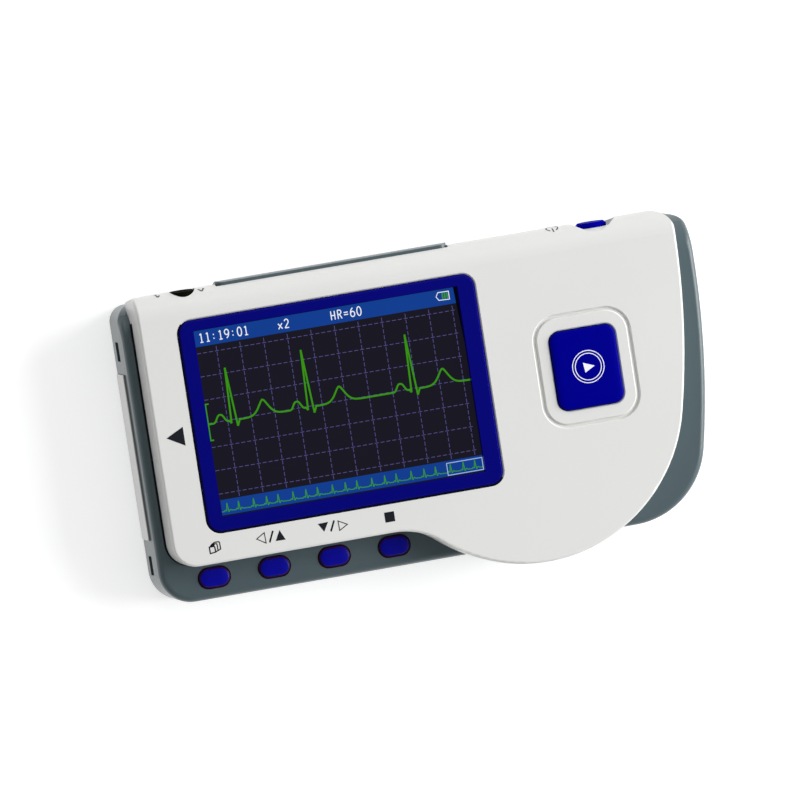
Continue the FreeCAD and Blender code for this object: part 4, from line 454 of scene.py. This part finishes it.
def display_picture():
    """The lit picture in thin layers: its ground, the two bars, grid, traces, readings, the
    sign of a charged cell, and the shade that the display frame throws on its upper edge."""
    left, right, low, high = PICTURE
    under, drawn, over = SCREEN + 0.01, SCREEN + 0.03, SCREEN + 0.06
    ride = {"body": "case", "slot": "screen_window"}
    plates("screen_ground", [oblong(left, right, low, high)], SCREEN, SCREEN_DARK, **ride)
    plates("screen_header", [oblong(left, right, 22.8, 26.25)], under, BAR_BLUE, **ride)
    plates("screen_footer", [oblong(-47.5, right, -12.95, -9.7)], under, BAR_BLUE, **ride)
    lines("screen_grid", screen_grid(), 0.14, under, GRID_VIOLET, **ride)
    x = trace_stations()
    lines("screen_trace", [np.column_stack([x, heart_trace(x)])], 0.38, drawn, TRACE_GREEN, **ride)
    tip, spine = left + 1.05, left + 0.35
    bracket = [(tip, 10.65), (spine, 10.65), (spine, 2.98), (tip, 2.98)]
    lines("screen_bracket", [bracket], 0.3, drawn, TRACE_GREEN, **ride)
    lines("screen_overview", [small_beats()], 0.19, drawn, TRACE_GREEN, **ride)
    lines("screen_cursor", [oblong(1.6, 9.3, -12.75, -10.2)], 0.16, over, PALE_BLUE, closed=True,
          **ride)
    foot, tall = 23.65, 1.85
    figures = (reading("11:19:01", -46.70, foot, 1.38, tall)
               + reading("x2", -29.6, foot, 1.38, tall)
               + reading("HR=60", -18.16, foot, 1.42, tall))
    lines("screen_figures", figures, 0.22, over, LIT_WHITE, **ride)
    cell = [(4.85, 24.75), (5.35, 23.95), (7.65, 23.85), (7.65, 25.55), (5.35, 25.6)]
    lines("screen_cell", [cell], 0.16, over, LIT_WHITE, closed=True, **ride)
    edge = high - 0.2
    # a near-black plate painted as the display frame's shadow on the picture
    shade = [(right, 14.0), (right, high), (left, high), (left, edge), (right - 0.7, edge)]
    plates("screen_shade", [shade], over, SCREEN_SHADE_PAINT, **ride)
    bars = [oblong(6.1 + 0.5 * k, 6.42 + 0.5 * k, 24.1, 25.35) for k in range(3)]
    plates("screen_cell_bars", bars, drawn, TRACE_GREEN, **ride)


# ---------------------------------------------------------------- painted shadows, printing and soft keys
def bezel_shadow():
    """A painted shadow in the groove round the display frame: a dark band along its left and lower
    sides only, where shade falls, from the middle of the upper left corner to the end of the lower
    right one."""
    ring = rounded_rectangle(-18.95, 6.25, 32.30, 22.60, 3.0)
    # a dark band painted as the shadow in the groove, on the shaded sides only
    lines("bezel_groove_shadow", [ring[17:44]], 0.4, GROOVE_FLOOR, GAP_PAINTED_SHADE, slot="blue_trim",
          thickness=0.19)


def cover_foot_shadow():
    """A painted shadow at the foot of the front cover, on the frame's ledge: a dark line down the
    left side, round the corner of radius 5 and, thinner, along the lower side into the bend of
    radius 15.4. It touches the cover, so its middle runs half its width away."""
    corner, bend = np.radians(np.linspace(180, 270, 14)), np.radians(np.linspace(90, 50, 12))
    corner_width, bend_width = np.linspace(0.45, 0.14, 14), np.linspace(0.14, 0.05, 12)
    side = [(-59.2 - corner_width[0] / 2, 29.5)]
    reach = 5.0 + corner_width / 2
    around = np.column_stack([-54.2 + reach * np.cos(corner), -17.6 + reach * np.sin(corner)])
    reach = 15.4 - bend_width / 2
    away = np.column_stack([-11.93 + reach * np.cos(bend), -38.0 + reach * np.sin(bend)])
    width = np.concatenate([corner_width[:1], corner_width, bend_width])
    # a dark line painted as the shadow at the cover's foot
    lines("cover_foot_shadow", [np.vstack([side, around, away])], width[:, None], LEDGE, FOOT_PAINTED_SHADE,
          slot="grey_plastic")


def printed_marks():
    """The dark marks above the oval keys and left of the display."""
    on = {"z": FACE, "material": NAVY_INK, "slot": "white_plastic"}
    front_page = [(-51.53, -20.30), (-50.36, -20.16), (-50.40, -19.10), (-50.55, -18.91),
                  (-51.55, -18.93)]
    lines("print_page", [front_page], 0.27, closed=True, **on)
    back_pages = [[(-51.35, -18.86), (-50.97, -18.45), (-49.98, -18.43), (-49.83, -18.65),
                   (-49.80, -19.93), (-50.33, -20.12)],
                  [(-50.90, -18.42), (-50.35, -18.13), (-49.42, -18.10), (-49.25, -18.32),
                   (-49.21, -19.69), (-49.75, -19.92)]]
    lines("print_pages", back_pages, 0.25, **on)
    fold = [(-51.30, -18.88), (-50.50, -18.88), (-50.20, -18.50), (-50.95, -18.50)]
    plates("print_page_fold", [fold], **on)
    open_left = [(-41.30, -18.96), (-39.42, -20.12), (-39.48, -17.88)]
    open_right = [(-23.52, -18.12), (-23.44, -20.16), (-21.60, -19.16)]
    lines("print_arrows", [open_left, open_right], 0.19, closed=True, **on)
    slashes = [[(-37.60, -17.80), (-38.63, -20.11)], [(-24.32, -17.87), (-25.34, -20.06)]]
    lines("print_slashes", slashes, 0.37, **on)
    up = [(-37.31, -20.05), (-35.16, -20.09), (-36.20, -17.90)]
    down = [(-25.64, -17.95), (-27.86, -18.03), (-26.76, -19.88)]
    plates("print_up_down", [up, down], **on)
    plates("print_stop", [oblong(-13.49, -11.36, -20.22, -18.10)], **on)
    plates("print_side_arrow", [[(-53.2, 6.95), (-57.0, 5.1), (-53.2, 2.95)]], **on)


def on_roll(points):
    """Lays (x, s, h) on the rolled top edge, whose radius is r: s runs round it from its widest
    level towards the face and h is the height above it, so y = 29.95 + (r + h) cos(s / r) and
    z = 15 + (r + h) sin(s / r)."""
    radius = 5.0
    x, along, height = points.T
    return np.column_stack([x, 29.95 + (radius + height) * np.cos(along / radius),
                            15.0 + (radius + height) * np.sin(along / radius)])


def close_points(path, step=0.2):
    """The same path with a point at least every step along it, so that it can follow a curve."""
    path = np.asarray(path, float)
    parts = [np.linspace(start, end, math.ceil(np.linalg.norm(end - start) / step) + 1)[:-1]
             for start, end in zip(path[:-1], path[1:])]
    return np.vstack([*parts, path[-1:]])


def roll_marks():
    """Small grey marks on the rolled top edge: a tick on each side of the socket, and a ring
    with a bar beside the power key."""
    ticks = [[(-54.0, 0.8), (-53.66, 2.4), (-53.14, 1.7)],
             [(-44.9, 1.8), (-44.25, 2.9), (-43.6, 1.7)]]
    ring = arc(32.3, 1.45, 1.25, 1.25, 120, 420, 19)
    bar = [(32.3, 1.5), (32.3, 3.1)]
    on = {"material": FAINT_INK, "slot": "white_plastic", "place": on_roll}
    lines("print_ticks", [close_points(path) for path in ticks], 0.36, 0.0, **on)
    lines("print_power", [ring, close_points(bar)], 0.3, 0.0, **on)


def dome_profile(inner, low, high, soft):
    """Insets and heights of a softly rounded key from its foot to its crown: upright, then a
    quarter round of radius soft, then a shallow dome that rises to the full height."""
    crown = 0.1
    turn, share = np.linspace(0.0, math.pi / 2, 9), np.linspace(0.15, 1.0, 5)
    inset = [[0.0], soft * (1 - np.cos(turn)), soft + (inner - soft) * share]
    height = [[low], high - crown - soft + soft * np.sin(turn), high - crown * (1 - share) ** 2]
    return np.concatenate(inset), np.concatenate(height)


def oval_ring(x, inset, z, half_x, half_y):
    """A ring of an oval key at x: its outline moved inwards, at a height."""
    radius = max(half_y - 0.01 - inset, 0.004)
    return at_level(rounded_rectangle(x, -26.0, half_x - inset, half_y - inset, radius), z)


def soft_keys():
    """The four oval keys, on their flange under the frame: a dark maroon sloping skirt, painted as
    the shade in the gap round each key and on its side, and a brighter crown with a soft edge."""
    inset, height = dome_profile(1.9, 13.2, 13.68, 0.35)
    crown = list(zip(np.minimum(inset, 1.8), height))
    skirt = ((0.0, 11.7), (0.0, 13.0), (0.06, 13.15), (0.28, 13.32), (0.5, 13.2), (0.5, 11.7))
    for number, key in enumerate(("records_key", "up_key", "down_key", "stop_key")):
        x = -50.1 + 13.05 * number
        rings = [oval_ring(x, 0.0, z, 4.0, 2.75) for z in (11.15, 11.75)]
        rings += [oval_ring(x, d, z, 3.1, 1.85) for d, z in crown]
        piece = ring_stack(key + "_soft", rings, OVAL_BLUE, key)
        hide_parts(key)
        # the skirt's dark maroon is painted shade of the gap round the key
        rings = [oval_ring(x, d, z, 3.4, 2.15) for d, z in skirt]
        ring_stack(key + "_skirt", rings, RIM_MAROON_SHADE, key, capped=False)


def soft_start_key():
    """The large key: rounded edges, a nearly flat crown, and its printed play mark."""
    x, y, low, flange, top = 34.35, 4.85, 16.95, 17.95, 20.66
    rings = [at_level(rounded_rectangle(x, y, 8.3, 9.55, 0.05), z) for z in (low, flange)]
    rings += [at_level(rounded_rectangle(x, y, 7.1 - d, 8.35 - d, max(2.2 - d, 0.6)), z)
              for d, z in zip(*dome_profile(1.6, flange, top, 0.5))]
    piece = ring_stack("start_button_soft", rings, KEY_BLUE, "start_button")
    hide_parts("start_button")
    on = {"body": "start_button", "slot": "blue_key"}
    round_lines = [arc(34.60, 5.01, r, r, 0, 360, 65)[:-1] for r in (3.41, 2.82)]
    lines("play_rings", round_lines, 0.17, top, PALE_INK, closed=True, **on)
    plates("play_mark", [[(33.56, 5.99), (33.79, 3.84), (35.99, 5.00)]], top, PALE_INK, **on)


display_picture()
bezel_shadow()
cover_foot_shadow()
printed_marks()
roll_marks()
soft_keys()
soft_start_key()


# ---------------------------------------------------------------- floor, light and camera
def floor():
    """A pale floor that reads as white, also in reflections, and keeps the shadow. It lies
    just under the back face and is clear from below."""
    mesh = bpy.data.meshes.new("floor")
    reach, level = 3.0, -0.0002
    mesh.from_pydata([(-reach, -reach, level), (reach, -reach, level), (reach, reach, level),
                      (-reach, reach, level)], [], [(0, 1, 2, 3)])
    piece = bpy.data.objects.new("floor", mesh)
    bpy.context.scene.collection.objects.link(piece)
    material, tree, shader = node_tree("pale floor")
    shader.inputs["Base Color"].default_value = (0.7, 0.7, 0.7, 1)
    shader.inputs["Roughness"].default_value = 0.9
    shader.inputs["Specular IOR Level"].default_value = 0.0
    camera_glow, mirror_glow = 0.6, 0.85
    path = tree.nodes.new("ShaderNodeLightPath")
    seen = tree.nodes.new("ShaderNodeMath")
    seen.operation = "MULTIPLY"
    seen.inputs[1].default_value = camera_glow
    tree.links.new(path.outputs["Is Camera Ray"], seen.inputs[0])
    mirrored = tree.nodes.new("ShaderNodeMath")
    mirrored.operation = "MULTIPLY_ADD"
    mirrored.inputs[1].default_value = mirror_glow
    tree.links.new(path.outputs["Is Glossy Ray"], mirrored.inputs[0])
    tree.links.new(seen.outputs[0], mirrored.inputs[2])
    glow = tree.nodes.new("ShaderNodeEmission")
    tree.links.new(mirrored.outputs[0], glow.inputs["Strength"])
    both = tree.nodes.new("ShaderNodeAddShader")
    tree.links.new(shader.outputs[0], both.inputs[0])
    tree.links.new(glow.outputs[0], both.inputs[1])
    side = tree.nodes.new("ShaderNodeNewGeometry")
    clear = tree.nodes.new("ShaderNodeBsdfTransparent")
    shown = tree.nodes.new("ShaderNodeMixShader")
    tree.links.new(side.outputs["Backfacing"], shown.inputs[0])
    tree.links.new(both.outputs[0], shown.inputs[1])
    tree.links.new(clear.outputs[0], shown.inputs[2])
    tree.links.new(shown.outputs[0], tree.nodes["Material Output"].inputs["Surface"])
    mesh.materials.append(material)


def studio():
    """Soft light all round, weaker from above and from the left, which shows as white behind
    the object, with a broad key lamp on the right and a faint lamp over the top edge."""
    world = bpy.data.worlds.new("studio")
    bpy.context.scene.world = world
    world.use_nodes = True
    tree = world.node_tree
    ambient = tree.nodes["Background"]
    ambient.inputs["Color"].default_value = (0.98, 0.99, 1.0, 1)
    way = tree.nodes.new("ShaderNodeTexCoord")
    parts = tree.nodes.new("ShaderNodeSeparateXYZ")
    tree.links.new(way.outputs["Generated"], parts.inputs[0])
    fall = tree.nodes.new("ShaderNodeMapRange")
    fall.inputs["From Min"].default_value = 0.2
    fall.inputs["From Max"].default_value = 1.0
    fall.inputs["To Min"].default_value = 0.75
    fall.inputs["To Max"].default_value = 0.22
    tree.links.new(parts.outputs["Z"], fall.inputs["Value"])
    aside = tree.nodes.new("ShaderNodeMapRange")
    aside.inputs["From Min"].default_value = -1.0
    aside.inputs["To Min"].default_value = 0.7
    aside.inputs["To Max"].default_value = 1.2
    tree.links.new(parts.outputs["X"], aside.inputs["Value"])
    level = tree.nodes.new("ShaderNodeMath")
    level.operation = "MULTIPLY"
    tree.links.new(fall.outputs["Result"], level.inputs[0])
    tree.links.new(aside.outputs["Result"], level.inputs[1])
    tree.links.new(level.outputs[0], ambient.inputs["Strength"])
    path = tree.nodes.new("ShaderNodeLightPath")
    white = tree.nodes.new("ShaderNodeBackground")
    white.inputs["Color"].default_value = (1.0, 1.0, 1.0, 1)
    seen = tree.nodes.new("ShaderNodeMixShader")
    tree.links.new(path.outputs["Is Camera Ray"], seen.inputs[0])
    tree.links.new(ambient.outputs[0], seen.inputs[1])
    tree.links.new(white.outputs[0], seen.inputs[2])
    tree.links.new(seen.outputs[0], tree.nodes["World Output"].inputs["Surface"])
    for name, place, size, power in (("key", (1.8, 0.2, 1.0), 1.5, 57.0),
                                     ("top", (-0.1, 0.9, 0.5), 0.6, 1.2)):
        lamp = bpy.data.lights.new(name, "AREA")
        lamp.size = size
        lamp.energy = power
        holder = bpy.data.objects.new(name, lamp)
        bpy.context.scene.collection.objects.link(holder)
        spot = Vector(place)
        aim = (-spot).to_track_quat("-Z", "Y").to_matrix().to_4x4()
        holder.matrix_world = Matrix.Translation(spot) @ aim


def camera():
    """A long lens, 12 degrees left of and 4.6 degrees above the face's normal, rolled by 8.8
    degrees, which takes in a given width at the object's distance."""
    left, above, roll = (math.radians(v) for v in (12.0, 4.6, 8.8))
    right = Vector((math.cos(left), 0, math.sin(left)))
    up = Vector((math.sin(above) * math.sin(left), math.cos(above),
                 -math.sin(above) * math.cos(left)))
    back = right.cross(up)
    across = right * math.cos(roll) - up * math.sin(roll)
    rise = right * math.sin(roll) + up * math.cos(roll)
    distance, width = 3.0, 0.168
    target = Vector((0, 0, 0.020)) + across * (-0.00689) + rise * 0.00361
    data = bpy.data.cameras.new("camera")
    data.sensor_width = 36.0
    data.lens = data.sensor_width * distance / width
    data.clip_end = 20.0
    holder = bpy.data.objects.new("camera", data)
    bpy.context.scene.collection.objects.link(holder)
    axes = Matrix((across, rise, back)).transposed().to_4x4()
    holder.matrix_world = Matrix.Translation(target + back * distance) @ axes
    bpy.context.scene.camera = holder


floor()
studio()
camera()
bpy.context.scene.view_settings.view_transform = "Standard"
